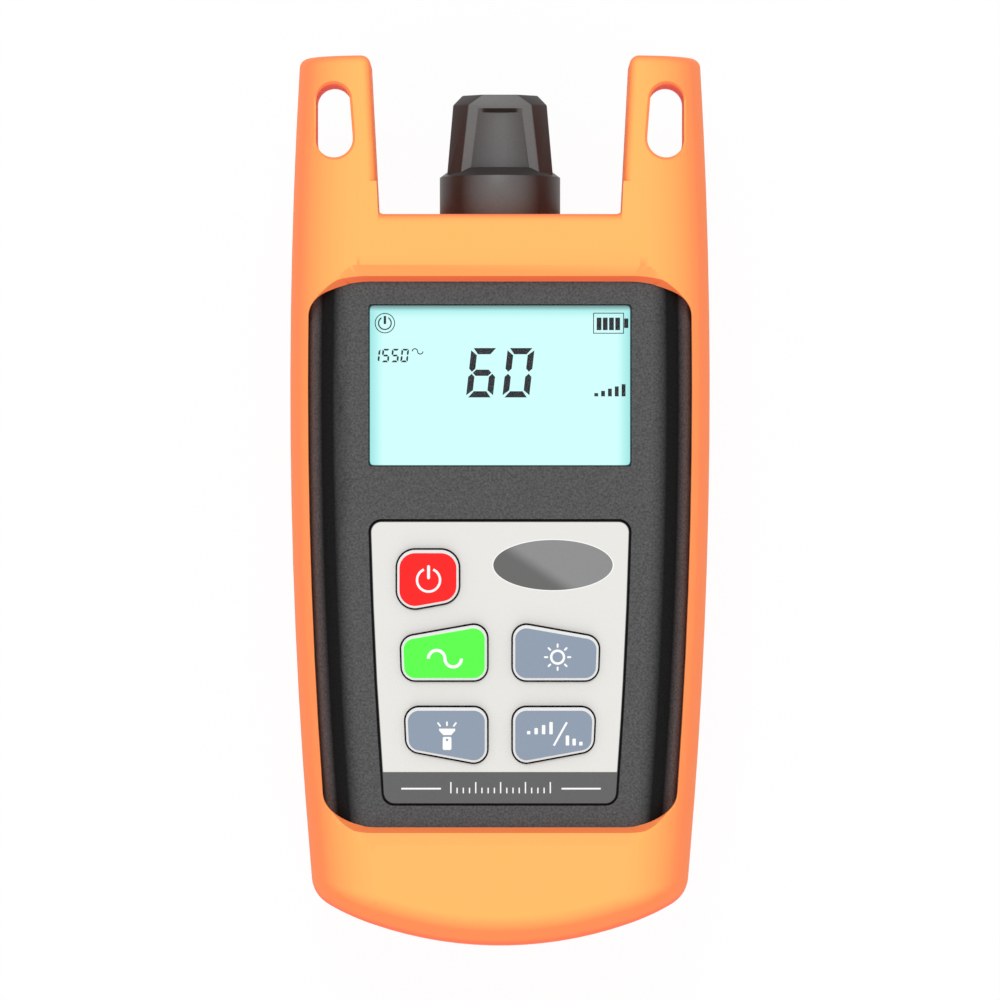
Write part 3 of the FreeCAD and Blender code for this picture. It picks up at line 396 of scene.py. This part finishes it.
# Puts a shaped mesh in the scene as an object of its own.
def addObject(bm, name):
    mesh = bpy.data.meshes.new(name)
    bm.to_mesh(mesh)
    bm.free()
    made = bpy.data.objects.new(name, mesh)
    bpy.context.scene.collection.objects.link(made)
    return made


# The same for a finished piece, which rides on its body.
def addPiece(bm, name, material, body):
    piece = addObject(bm, name)
    piece.data.materials.append(material)
    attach(piece, body)
    return piece


# Smooth step from 0 at low to 1 at high.
def rise(value, low, high):
    share = min(max((value - low) / (high - low), 0.0), 1.0)
    return share * share * (3 - 2 * share)


# A built part's own form with flat runs joined and every hard edge rolled over.
def rolledCopy(node, name, look, material, body):
    bm = bmesh.new()
    bm.from_mesh(nodes[node].data)
    bmesh.ops.remove_doubles(bm, verts=bm.verts[:], dist=look["merge"] * mm)
    bmesh.ops.dissolve_degenerate(bm, edges=bm.edges[:], dist=join["sliver"])
    bmesh.ops.dissolve_limit(bm, angle_limit=math.radians(look["flat"]), verts=bm.verts[:], edges=bm.edges[:])
    hard = [edge for edge in bm.edges if edge.is_manifold and edge.calc_face_angle() > math.radians(look["hard"])]
    bmesh.ops.bevel(bm, geom=hard, offset=look["roll"] * mm, offset_type="OFFSET", segments=look["steps"], profile=0.5,
                    affect="EDGES", clamp_overlap=True, material=-1)
    for vert in bm.verts:
        vert.co.y += sum(move * mm * rise(vert.co.y / mm, *start) * (1 - rise(vert.co.y / mm, *stop))
                         for move, start, stop in look.get("shifts", ()))
    for face in bm.faces:
        face.smooth = True
    piece = addPiece(bm, name, material, body)
    even = piece.modifiers.new("evenNormals", "WEIGHTED_NORMAL")
    even.mode = "FACE_AREA"
    even.weight = 50
    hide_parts(node)


# Solid of turning about the port's axis from (radius, y) pairs, its ends closed on the axis.
def turned(outline, steps=96):
    bm = bmesh.new()
    line = [bm.verts.new((radius * mm, y * mm, portHeight)) for radius, y in outline]
    edges = [bm.edges.new(pair) for pair in zip(line, line[1:])]
    bmesh.ops.spin(bm, geom=line + edges, cent=(0, 0, portHeight), axis=(0, 1, 0), dvec=(0, 0, 0),
                   angle=math.radians(360), steps=steps, use_merge=True)
    bmesh.ops.remove_doubles(bm, verts=bm.verts[:], dist=join["spun"])
    bmesh.ops.recalc_face_normals(bm, faces=bm.faces[:])
    return bm


# Closed bar through rings of (x, z) points about the port's axis, one ring for each y.
def lofted(rings):
    bm = bmesh.new()
    edges, ends = [], []
    for y, points in rings:
        line = [bm.verts.new((x * mm, y * mm, portHeight + z * mm)) for x, z in points]
        edges += [bm.edges.new(pair) for pair in zip(line, line[1:] + line[:1])]
        ends.append(line)
    count = len(ends[0])
    for i in range(len(rings) - 1):
        bmesh.ops.bridge_loops(bm, edges=edges[i * count:(i + 2) * count])
    bm.faces.new(ends[0])
    bm.faces.new(ends[-1])
    bmesh.ops.recalc_face_normals(bm, faces=bm.faces[:])
    return bm


# Pull-off cap: plain collar, short cone, and a grip with cut corners and a flute front and back.
def makeDustCap():
    look = {"collar": 8.2, "collarTop": 43.95, "coneTop": 45.05, "neck": 6.62, "edge": 0.14, "footEdge": 0.3,
            "bend": 0.3, "neckSoft": 0.06, "coneSoft": 0.05, "foot": (7.26, 3.35, 5.43, 5.3), "footY": 43.2,
            "shoulder": (6.36, 2.65, 4.25, 4.8), "shoulderY": 53.6, "tip": (5.08, 2.1, 2.43, 4.75), "tipY": 54.95,
            "roll": 0.13, "rollSteps": 2, "fluteFoot": 4.2, "fluteFootY": 43.0, "fluteTip": 3.0, "fluteEnd": 53.1,
            "fluteSlope": 0.55, "fluteDepth": 0.95, "fluteFade": 0.02, "fluteSteps": 16, "fluteOver": 3.0, "bore": 3.9,
            "boreOver": 1.0, "seat": 3.7, "seatFront": 51.3, "seatBack": 52.6, "skirt": 0.3, "skirtBore": 7.5,
            "skirtLap": 0.05, "sharp": 28}
    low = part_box("dust_cap")[0].y / mm - look["skirt"]
    side, top, coneTop, bend = look["collar"], look["collarTop"], look["coneTop"], look["bend"]
    edge, footEdge = look["edge"], look["footEdge"]
    body = addObject(turned([
        (0, low), (side - footEdge, low), (side - footEdge * bend, low + footEdge * bend), (side, low + footEdge),
        (side, top - edge), (side - edge * bend, top - edge * bend), (side - edge, top),
        (look["neck"] + look["neckSoft"], coneTop - look["coneSoft"]), (look["neck"] - look["neckSoft"], coneTop),
        (0, coneTop)]), "dust_cap_body")

    # Bar outline from its half width, the flat at its side, the flat of its face, and its half depth.
    def corners(sizes):
        half, sideFlat, faceFlat, depth = sizes
        quarter = [(half, sideFlat), (faceFlat, depth)]
        points = quarter + [(-x, z) for x, z in reversed(quarter)]
        return points + [(-x, -z) for x, z in points]

    grip = lofted([(look["footY"], corners(look["foot"])), (look["shoulderY"], corners(look["shoulder"])),
                   (look["tipY"], corners(look["tip"]))])
    bmesh.ops.bevel(grip, geom=grip.edges[:], offset=look["roll"] * mm, offset_type="OFFSET",
                    segments=look["rollSteps"], profile=0.5, affect="EDGES", clamp_overlap=True, material=-1)
    cap = addObject(grip, "grip")
    tools = []

    # Cutter outline: a shallow arc across the face, closed well clear of it.
    def channel(half, face, sag):
        steps = look["fluteSteps"]
        shares = [2 * i / steps - 1 for i in range(steps + 1)]
        arc = [(half * share, face - sag * (1 - share ** 2)) for share in shares]
        return arc + [(half, face + look["fluteOver"]), (-half, face + look["fluteOver"])]

    tipFace = look["shoulder"][3] + look["fluteFade"]
    sections = [(look["fluteFootY"], channel(look["fluteFoot"], look["foot"][3], look["fluteDepth"])),
                (look["fluteEnd"] - look["fluteSlope"], channel(look["fluteTip"], tipFace, look["fluteDepth"])),
                (look["fluteEnd"], channel(look["fluteTip"], tipFace, look["fluteFade"]))]
    for way in (1, -1):
        flute = lofted([(y, [(x, way * z) for x, z in points]) for y, points in sections])
        tools.append((addObject(flute, "flute"), "DIFFERENCE"))
    tools.append((body, "UNION"))
    start, skirtEnd = low - look["boreOver"], low + look["skirt"] + look["skirtLap"]
    wide, narrow, seat = look["skirtBore"], look["bore"], look["seat"]
    bore = turned([(0, start), (wide, start), (wide, skirtEnd), (narrow, skirtEnd), (narrow, look["seatFront"]),
                   (seat, look["seatFront"]), (seat, look["seatBack"]), (0, look["seatBack"])])
    tools.append((addObject(bore, "bore"), "DIFFERENCE"))
    for tool, way in tools:
        cut = cap.modifiers.new(way.lower(), "BOOLEAN")
        cut.operation = way
        cut.solver = "EXACT"
        cut.object = tool
    shaped = bmesh.new()
    bpy.context.view_layer.update()
    shaped.from_object(cap, bpy.context.evaluated_depsgraph_get())
    for spare in [cap, *(tool for tool, way in tools)]:
        bpy.data.objects.remove(spare)
    bmesh.ops.remove_doubles(shaped, verts=shaped.verts[:], dist=join["cut"])
    for face in shaped.faces:
        face.smooth = True
    piece = addPiece(shaped, "dust_cap_shaped", capPlastic, "cap")
    piece.data.set_sharp_from_angle(angle=math.radians(look["sharp"]))
    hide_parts("dust_cap")


# Soft disc in the cap's end, its front edge rounded and its face dished where the barrel bears.
def makeCapSeal():
    low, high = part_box("cap_seal")
    look = {"round": 0.25, "bend": 0.3, "dish": 0.12, "dishFlat": 0.6, "dishSlope": 0.72, "dishEdge": 0.8,
            "dishLip": 0.02, "steps": 64, "sharp": 40}
    r, front, back = (high.x - low.x) / 2 / mm, low.y / mm, high.y / mm
    soft, bend, dish = look["round"], look["bend"], look["dish"]
    bm = turned([(0, front + dish), (r * look["dishFlat"], front + dish),
                 (r * look["dishSlope"], front + look["dishLip"]), (r * look["dishEdge"], front), (r - soft, front),
                 (r - soft * bend, front + soft * bend), (r, front + soft), (r, back), (0, back)], look["steps"])
    for face in bm.faces:
        face.smooth = True
    piece = addPiece(bm, "cap_seal_disc", sealRubber, "cap")
    piece.data.set_sharp_from_angle(angle=math.radians(look["sharp"]))
    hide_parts("cap_seal")


portHeight = (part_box("dust_cap")[0].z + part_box("dust_cap")[1].z) / 2
sealRubber = makeFinish("sealRubber", {"face": (0.045, 0.045, 0.045), "speckle": 0.08, "rough": 0.7, "gloss": 0.2})
# shifts: how far along Y, where the move sets in and where it ends; the bay end moves down, the low lip up
sleeveLook = {"merge": 0.02, "flat": 0.1, "hard": 32, "roll": 0.12, "steps": 2,
              "shifts": [(-0.30, (27, 29), (90, 91)), (0.27, (-48, -45), (-43.5, -40))]}
plateLook = {"merge": 0.01, "flat": 0.5, "hard": 40, "roll": 0.15, "steps": 2}
rolledCopy("protective_sleeve", "sleeve", sleeveLook, orange, "meter")
rolledCopy("keypad_plate", "plate", plateLook, pale, "meter")
makeDustCap()
makeCapSeal()
print("sleeve, plate, cap and seal are shaped")


# flat prints and small raised faces
# Turns flat outlines into a thin closed piece whose upper face is at the height top.
def settle(bm, name, thick, top, material, body):
    lifted = bmesh.ops.extrude_face_region(bm, geom=bm.faces[:])
    moved = [part for part in lifted["geom"] if isinstance(part, bmesh.types.BMVert)]
    bmesh.ops.translate(bm, verts=moved, vec=(0, 0, thick))
    bmesh.ops.translate(bm, verts=bm.verts[:], vec=(0, 0, top - thick))
    bmesh.ops.recalc_face_normals(bm, faces=bm.faces[:])
    addPiece(bm, name, material, body)


# One flat face through points in millimetres.
def shape(bm, points):
    return bm.faces.new([bm.verts.new((x * mm, y * mm, 0)) for x, y in points])


# Flat bar about its middle, with corners cut by a share of its width.
def bar(bm, x, y, length, width, turn=0.0, tip=0.35):
    cut = width * tip
    a, b = length / 2, width / 2
    face = shape(bm, [(-a + cut, -b), (a - cut, -b), (a, -b + cut), (a, b - cut), (a - cut, b), (-a + cut, b),
                      (-a, b - cut), (-a, -b + cut)])
    bmesh.ops.rotate(bm, verts=face.verts[:], cent=(0, 0, 0), matrix=Matrix.Rotation(math.radians(turn), 3, "Z"))
    bmesh.ops.translate(bm, verts=face.verts[:], vec=(x * mm, y * mm, 0))


# Row of upright bars on one foot line, each longer than the last by the step.
def barRow(bm, row):
    for i in range(row["count"]):
        tall = row["first"] + row["step"] * i
        bar(bm, row["x"] + row["pitch"] * i, row["y"] + tall / 2, tall, row["width"], 90, row["tip"])


# Part of a flat ring, spun from one short edge.
def arcBand(bm, x, y, radius, width, start=0.0, sweep=360.0, steps=48):
    aim = Vector((math.cos(math.radians(start)), math.sin(math.radians(start)), 0)) * mm
    centre = Vector((x, y, 0)) * mm
    ends = [bm.verts.new(centre + aim * (radius + side * width / 2)) for side in (-1, 1)]
    bmesh.ops.spin(bm, geom=[*ends, bm.edges.new(ends)], cent=centre, axis=(0, 0, 1), dvec=(0, 0, 0),
                   angle=math.radians(sweep), steps=steps, use_merge=sweep >= 360)


# Flat oval disc about its middle.
def ovalDisc(bm, x, y, halfWide, halfHigh):
    rim = bmesh.ops.create_circle(bm, cap_ends=True, radius=1.0, segments=96)
    bmesh.ops.scale(bm, verts=rim["verts"], vec=(halfWide * mm, halfHigh * mm, 1))
    bmesh.ops.translate(bm, verts=rim["verts"], vec=(x * mm, y * mm, 0))


# The flat top of a built part as one face, or only what lies below the line under.
def topFace(name, under=None):
    level, sameHeight = 0.99, 0.01 * mm
    bm = bmesh.new()
    bm.from_mesh(nodes[name].data)
    bmesh.ops.remove_doubles(bm, verts=bm.verts[:], dist=join["built"])
    high = max(vert.co.z for vert in bm.verts)
    rest = [face for face in bm.faces
            if face.normal.z < level or face.calc_center_median().z < high - sameHeight]
    bmesh.ops.delete(bm, geom=rest, context="FACES")
    if under is not None:
        bmesh.ops.bisect_plane(bm, geom=bm.verts[:] + bm.edges[:] + bm.faces[:], plane_co=(0, under * mm, 0),
                               plane_no=(0, 1, 0), clear_outer=True)
    bmesh.ops.dissolve_limit(bm, angle_limit=math.radians(1), verts=bm.verts[:], edges=bm.edges[:])
    bmesh.ops.translate(bm, verts=bm.verts[:], vec=(0, 0, -high))
    return bm


# Draws a flat face in all round by inset and keeps its middle.
def drawIn(bm, inset):
    bmesh.ops.inset_region(bm, faces=bm.faces[:], thickness=inset * mm, use_even_offset=True)
    middle = max(bm.faces, key=lambda face: face.calc_area())
    bmesh.ops.delete(bm, geom=[face for face in bm.faces if face is not middle], context="FACES")


# Seven-segment figure; lit names its bars, a at the top and on clockwise to f, with g across the middle.
def digit(bm, x, y, look, lit):
    w, h, t, g = look["width"], look["height"], look["stroke"], look["gap"]
    half, mid = t / 2, h / 2
    nib = half * 0.4    # how far a bar's outer corner is cut
    outlines = {
        "a": [(g + nib, h), (w - g - nib, h), (w - g - t, h - t), (g + t, h - t)],
        "d": [(g + t, t), (w - g - t, t), (w - g - nib, 0), (g + nib, 0)],
        "f": [(0, h - g - nib), (t, h - g - t), (t, mid + g + half), (half, mid + g), (0, mid + g + half)],
        "e": [(0, mid - g - half), (half, mid - g), (t, mid - g - half), (t, g + t), (0, g + nib)],
        "g": [(g + half, mid), (g + t, mid + half), (w - g - t, mid + half), (w - g - half, mid),
              (w - g - t, mid - half), (g + t, mid - half)],
    }
    outlines["b"] = [(w - px, py) for px, py in reversed(outlines["f"])]
    outlines["c"] = [(w - px, py) for px, py in reversed(outlines["e"])]
    lean = math.tan(math.radians(look["lean"]))
    for name in lit:
        shape(bm, [(x + px + py * lean, y + py) for px, py in outlines[name]])


def figureRow(bm, row):
    for i, figure in enumerate(row["figures"]):
        digit(bm, row["x"] + row["pitch"] * i, row["y"], row, segments[figure])


segments = {"0": "abcdef", "1": "bc", "5": "afgcd", "6": "afgcde"}
glassTop = windowLow.z    # the lit glass ends where the window starts
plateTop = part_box("keypad_plate")[1].z
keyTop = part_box("key_power")[1].z


# Dark marks on the lit glass.
def makeDisplayMarks():
    power = {"x": -15.49, "y": 23.80, "ring": 1.31, "ringWidth": 0.12, "arc": 0.85, "arcWidth": 0.17, "arcStart": 122,
             "arcSweep": 296, "barRise": 0.42, "barLength": 1.10, "barWidth": 0.33, "barTip": 0.2}
    battery = {"left": 12.59, "right": 16.63, "low": 22.44, "high": 25.14, "line": 0.11, "cell": 0.64, "cells": 4,
               "first": 13.33, "pitch": 0.835, "cellHigh": 1.69, "middle": 23.70, "knobOut": 0.36, "knobHigh": 1.28,
               "knobWidth": 0.56}
    small = {"figures": "1550", "x": -17.28, "y": 18.53, "pitch": 1.28, "width": 1.02, "height": 1.82,
             "stroke": 0.25, "gap": 0.05, "lean": 6.4}
    wave = {"humps": ((-11.45, 0), (-10.73, 180)), "y": 20.0, "radius": 0.36, "width": 0.14, "steps": 16}
    big = {"figures": "60", "x": -4.59, "y": 13.80, "pitch": 4.89, "width": 3.62, "height": 6.65, "stroke": 0.84,
           "gap": 0.13, "lean": 6.4}
    level = {"count": 5, "x": 12.95, "y": 13.94, "pitch": 0.92, "first": 0.45, "step": 0.30, "width": 0.52, "tip": 0}
    film = {"thick": 0.012 * mm, "lift": 0.022 * mm}
    bm = bmesh.new()
    arcBand(bm, power["x"], power["y"], power["ring"], power["ringWidth"])
    arcBand(bm, power["x"], power["y"], power["arc"], power["arcWidth"], power["arcStart"], power["arcSweep"])
    bar(bm, power["x"], power["y"] + power["barRise"], power["barLength"], power["barWidth"], 90, power["barTip"])
    wide, high = battery["right"] - battery["left"], battery["high"] - battery["low"]
    centreX, centreY = (battery["left"] + battery["right"]) / 2, (battery["low"] + battery["high"]) / 2
    for y in (battery["low"], battery["high"]):
        bar(bm, centreX, y, wide + battery["line"], battery["line"], 0, 0)
    for x in (battery["left"], battery["right"]):
        bar(bm, x, centreY, high - battery["line"], battery["line"], 90, 0)
    for i in range(battery["cells"]):
        bar(bm, battery["first"] + i * battery["pitch"], battery["middle"], battery["cellHigh"], battery["cell"], 90, 0)
    bar(bm, battery["right"] + battery["knobOut"], centreY, battery["knobHigh"], battery["knobWidth"], 90, 0)
    figureRow(bm, small)
    for x, start in wave["humps"]:
        arcBand(bm, x, wave["y"], wave["radius"], wave["width"], start, 180, wave["steps"])
    figureRow(bm, big)
    barRow(bm, level)
    settle(bm, "display_marks", film["thick"], glassTop + film["lift"], darkMark, "meter")


# Oval, dark band and its marks on the key plate; each is lifted a little over what it lies on.
def makePlatePrints():
    oval = {"x": 7.12, "y": -8.74, "rim": (8.17, 3.51), "rimLift": 0.02, "field": (8.02, 3.37), "fieldLift": 0.035}
    band = {"top": -36.55, "inset": 0.14, "lift": 0.012}
    lines = {"runs": ((-10.60, 5.33), (10.90, 5.27)), "y": -38.78, "width": 0.23, "lift": 0.03}
    ticks = {"count": 17, "left": -6.6, "pitch": 0.835, "short": 0.75, "tall": 1.5, "tallEvery": 4, "width": 0.17,
             "foot": -39.4}
    thick = 0.02 * mm
    for name, ink in (("rim", whitePrint), ("field", ovalGrey)):
        disc = bmesh.new()
        ovalDisc(disc, oval["x"], oval["y"], *oval[name])
        settle(disc, "oval_" + name, thick, plateTop + oval[name + "Lift"] * mm, ink, "meter")
    field = topFace("keypad_plate", band["top"])
    drawIn(field, band["inset"])
    settle(field, "band_field", thick, plateTop + band["lift"] * mm, bandGrey, "meter")
    marks = bmesh.new()
    for x, length in lines["runs"]:
        bar(marks, x, lines["y"], length, lines["width"], 0, 0)
    for i in range(ticks["count"]):
        tall = ticks["tall"] if i % ticks["tallEvery"] == 0 else ticks["short"]
        bar(marks, ticks["left"] + i * ticks["pitch"], ticks["foot"] + tall / 2, tall, ticks["width"], 90, 0)
    settle(marks, "band_marks", thick, plateTop + lines["lift"] * mm, whitePrint, "meter")


# Coloured faces within the pale key edges, drawn back a little further at the +Y edge, where the wider pale strip is a
# painted highlight of the key lamp on the top bevel.
def makeKeyFaces():
    look = {"inset": 0.12, "highlightDrawBack": 0.14, "thick": 0.05, "proud": 0.035}
    faces = {"power": (redPrint, "key_red"), "wavelength": (greenPrint, "key_green"),
             "backlight": (greyPrint, "key_grey"), "torch": (greyPrint, "key_grey"),
             "reference": (greyPrint, "key_grey")}
    for name, (ink, slotName) in faces.items():
        bm = topFace("key_" + name)
        drawIn(bm, look["inset"])
        low = min(vert.co.y for vert in bm.verts)
        high = max(vert.co.y for vert in bm.verts)
        # the +Y edge moves down so more pale edge shows there: painted highlight
        share = 1 - look["highlightDrawBack"] * mm / (high - low)
        bmesh.ops.scale(bm, verts=bm.verts[:], vec=(1, share, 1), space=Matrix.Translation((0, -low, 0)))
        settle(bm, name + "_face", look["thick"] * mm, keyTop + look["proud"] * mm, ink, name + "_key")


# White signs on the coloured key faces.
def makeKeySigns():
    power = {"x": -9.59, "y": -10.75, "radius": 1.545, "width": 0.32, "start": 114, "sweep": 312, "barY": -9.69,
             "barLength": 1.89, "barWidth": 0.39}
    wave = {"humps": ((-8.50, 0), (-6.28, 180)), "y": -21.29, "radius": 1.11, "width": 0.42, "steps": 24}
    sun = {"x": 7.73, "y": -21.09, "radius": 0.86, "width": 0.33, "rays": 8, "reach": 1.55, "rayLength": 0.58,
           "rayWidth": 0.26}
    torch = {"head": ((-8.17, -30.68), (-8.17, -30.95), (-7.63, -31.55), (-6.55, -31.55), (-6.01, -30.95),
                      (-6.01, -30.68)),
             "handle": (-7.10, -32.67, 1.76, 1.18, 90, 0.12), "switch": (-7.10, -32.20, 0.16, 0.16),
             "rays": ((-7.12, -30.03, 0.62, 0.24, 90), (-8.18, -30.13, 0.72, 0.24, -54),
                      (-6.06, -30.13, 0.72, 0.24, 54))}
    rising = {"count": 4, "x": 3.85, "y": -31.45, "pitch": 1.0, "first": 0.45, "step": 0.40, "width": 0.46, "tip": 0.15}
    falling = {"count": 3, "x": 9.05, "y": -32.95, "pitch": 0.9, "first": 1.35, "step": -0.42, "width": 0.46,
               "tip": 0.15}
    slash = (8.10, -31.40, 3.60, 0.28, 60.7, 0.1)
    ink = {"thick": 0.03 * mm, "lift": 0.055 * mm, "switchLift": 0.01 * mm}
    thick, top = ink["thick"], keyTop + ink["lift"]

    bm = bmesh.new()
    arcBand(bm, power["x"], power["y"], power["radius"], power["width"], power["start"], power["sweep"])
    bar(bm, power["x"], power["barY"], power["barLength"], power["barWidth"], 90)
    settle(bm, "power_sign", thick, top, whitePrint, "power_key")

    bm = bmesh.new()
    for x, start in wave["humps"]:
        arcBand(bm, x, wave["y"], wave["radius"], wave["width"], start, 180, wave["steps"])
    settle(bm, "wave_sign", thick, top, whitePrint, "wavelength_key")

    bm = bmesh.new()
    arcBand(bm, sun["x"], sun["y"], sun["radius"], sun["width"])
    for i in range(sun["rays"]):
        turn = 360 // sun["rays"] * i
        aimX, aimY = math.cos(math.radians(turn)), math.sin(math.radians(turn))
        bar(bm, sun["x"] + sun["reach"] * aimX, sun["y"] + sun["reach"] * aimY, sun["rayLength"], sun["rayWidth"], turn)
    settle(bm, "sun_sign", thick, top, whitePrint, "backlight_key")

    bm = bmesh.new()
    shape(bm, torch["head"])
    bar(bm, *torch["handle"])
    for ray in torch["rays"]:
        bar(bm, *ray)
    settle(bm, "torch_sign", thick, top, whitePrint, "torch_key")
    bm = bmesh.new()
    ovalDisc(bm, *torch["switch"])
    settle(bm, "torch_sign_switch", thick, top + ink["switchLift"], greyPrint, "torch_key")

    bm = bmesh.new()
    bar(bm, *slash)
    barRow(bm, rising)
    barRow(bm, falling)
    settle(bm, "level_sign", thick, top, whitePrint, "reference_key")


# Printed oval with a painted reflection that runs from dark at its lower left to lighter at its upper right.
def makeOvalGrey():
    look = {"dark": (0.118, 0.120, 0.116), "light": (0.236, 0.238, 0.236), "slant": (1.0, 1.5, 0.0),
            "from": -10.4 * mm, "to": -6.8 * mm}
    finish = makeFinish("ovalGrey", {"face": look["dark"], "speckle": 0.02, "rough": 0.45, "gloss": 0.3})
    tree = finish.node_tree
    skin = next(node for node in tree.nodes if node.type == "GROUP")
    spot = tree.nodes.new("ShaderNodeTexCoord")
    slant = tree.nodes.new("ShaderNodeVectorMath")
    slant.operation = "DOT_PRODUCT"
    slant.inputs[1].default_value = look["slant"]
    tree.links.new(spot.outputs["Object"], slant.inputs[0])
    fade = tree.nodes.new("ShaderNodeMapRange")
    fade.interpolation_type = "SMOOTHSTEP"
    fade.inputs["From Min"].default_value, fade.inputs["From Max"].default_value = look["from"], look["to"]
    tree.links.new(slant.outputs["Value"], fade.inputs["Value"])
    # painted reflection across the printed grey
    paintedReflection = tinted(tree, fade.outputs["Result"], look["dark"], look["light"])
    for socket in ("Face", "Flank Shade"):
        tree.links.new(paintedReflection, skin.inputs[socket])
    return finish


ovalGrey = makeOvalGrey()
bandGrey = makeFinish("bandGrey", {"face": (0.115, 0.115, 0.118), "speckle": 0.04, "rough": 0.5, "gloss": 0.2})
makeDisplayMarks()
makePlatePrints()
makeKeyFaces()
makeKeySigns()
print("display marks, prints and key faces are made")
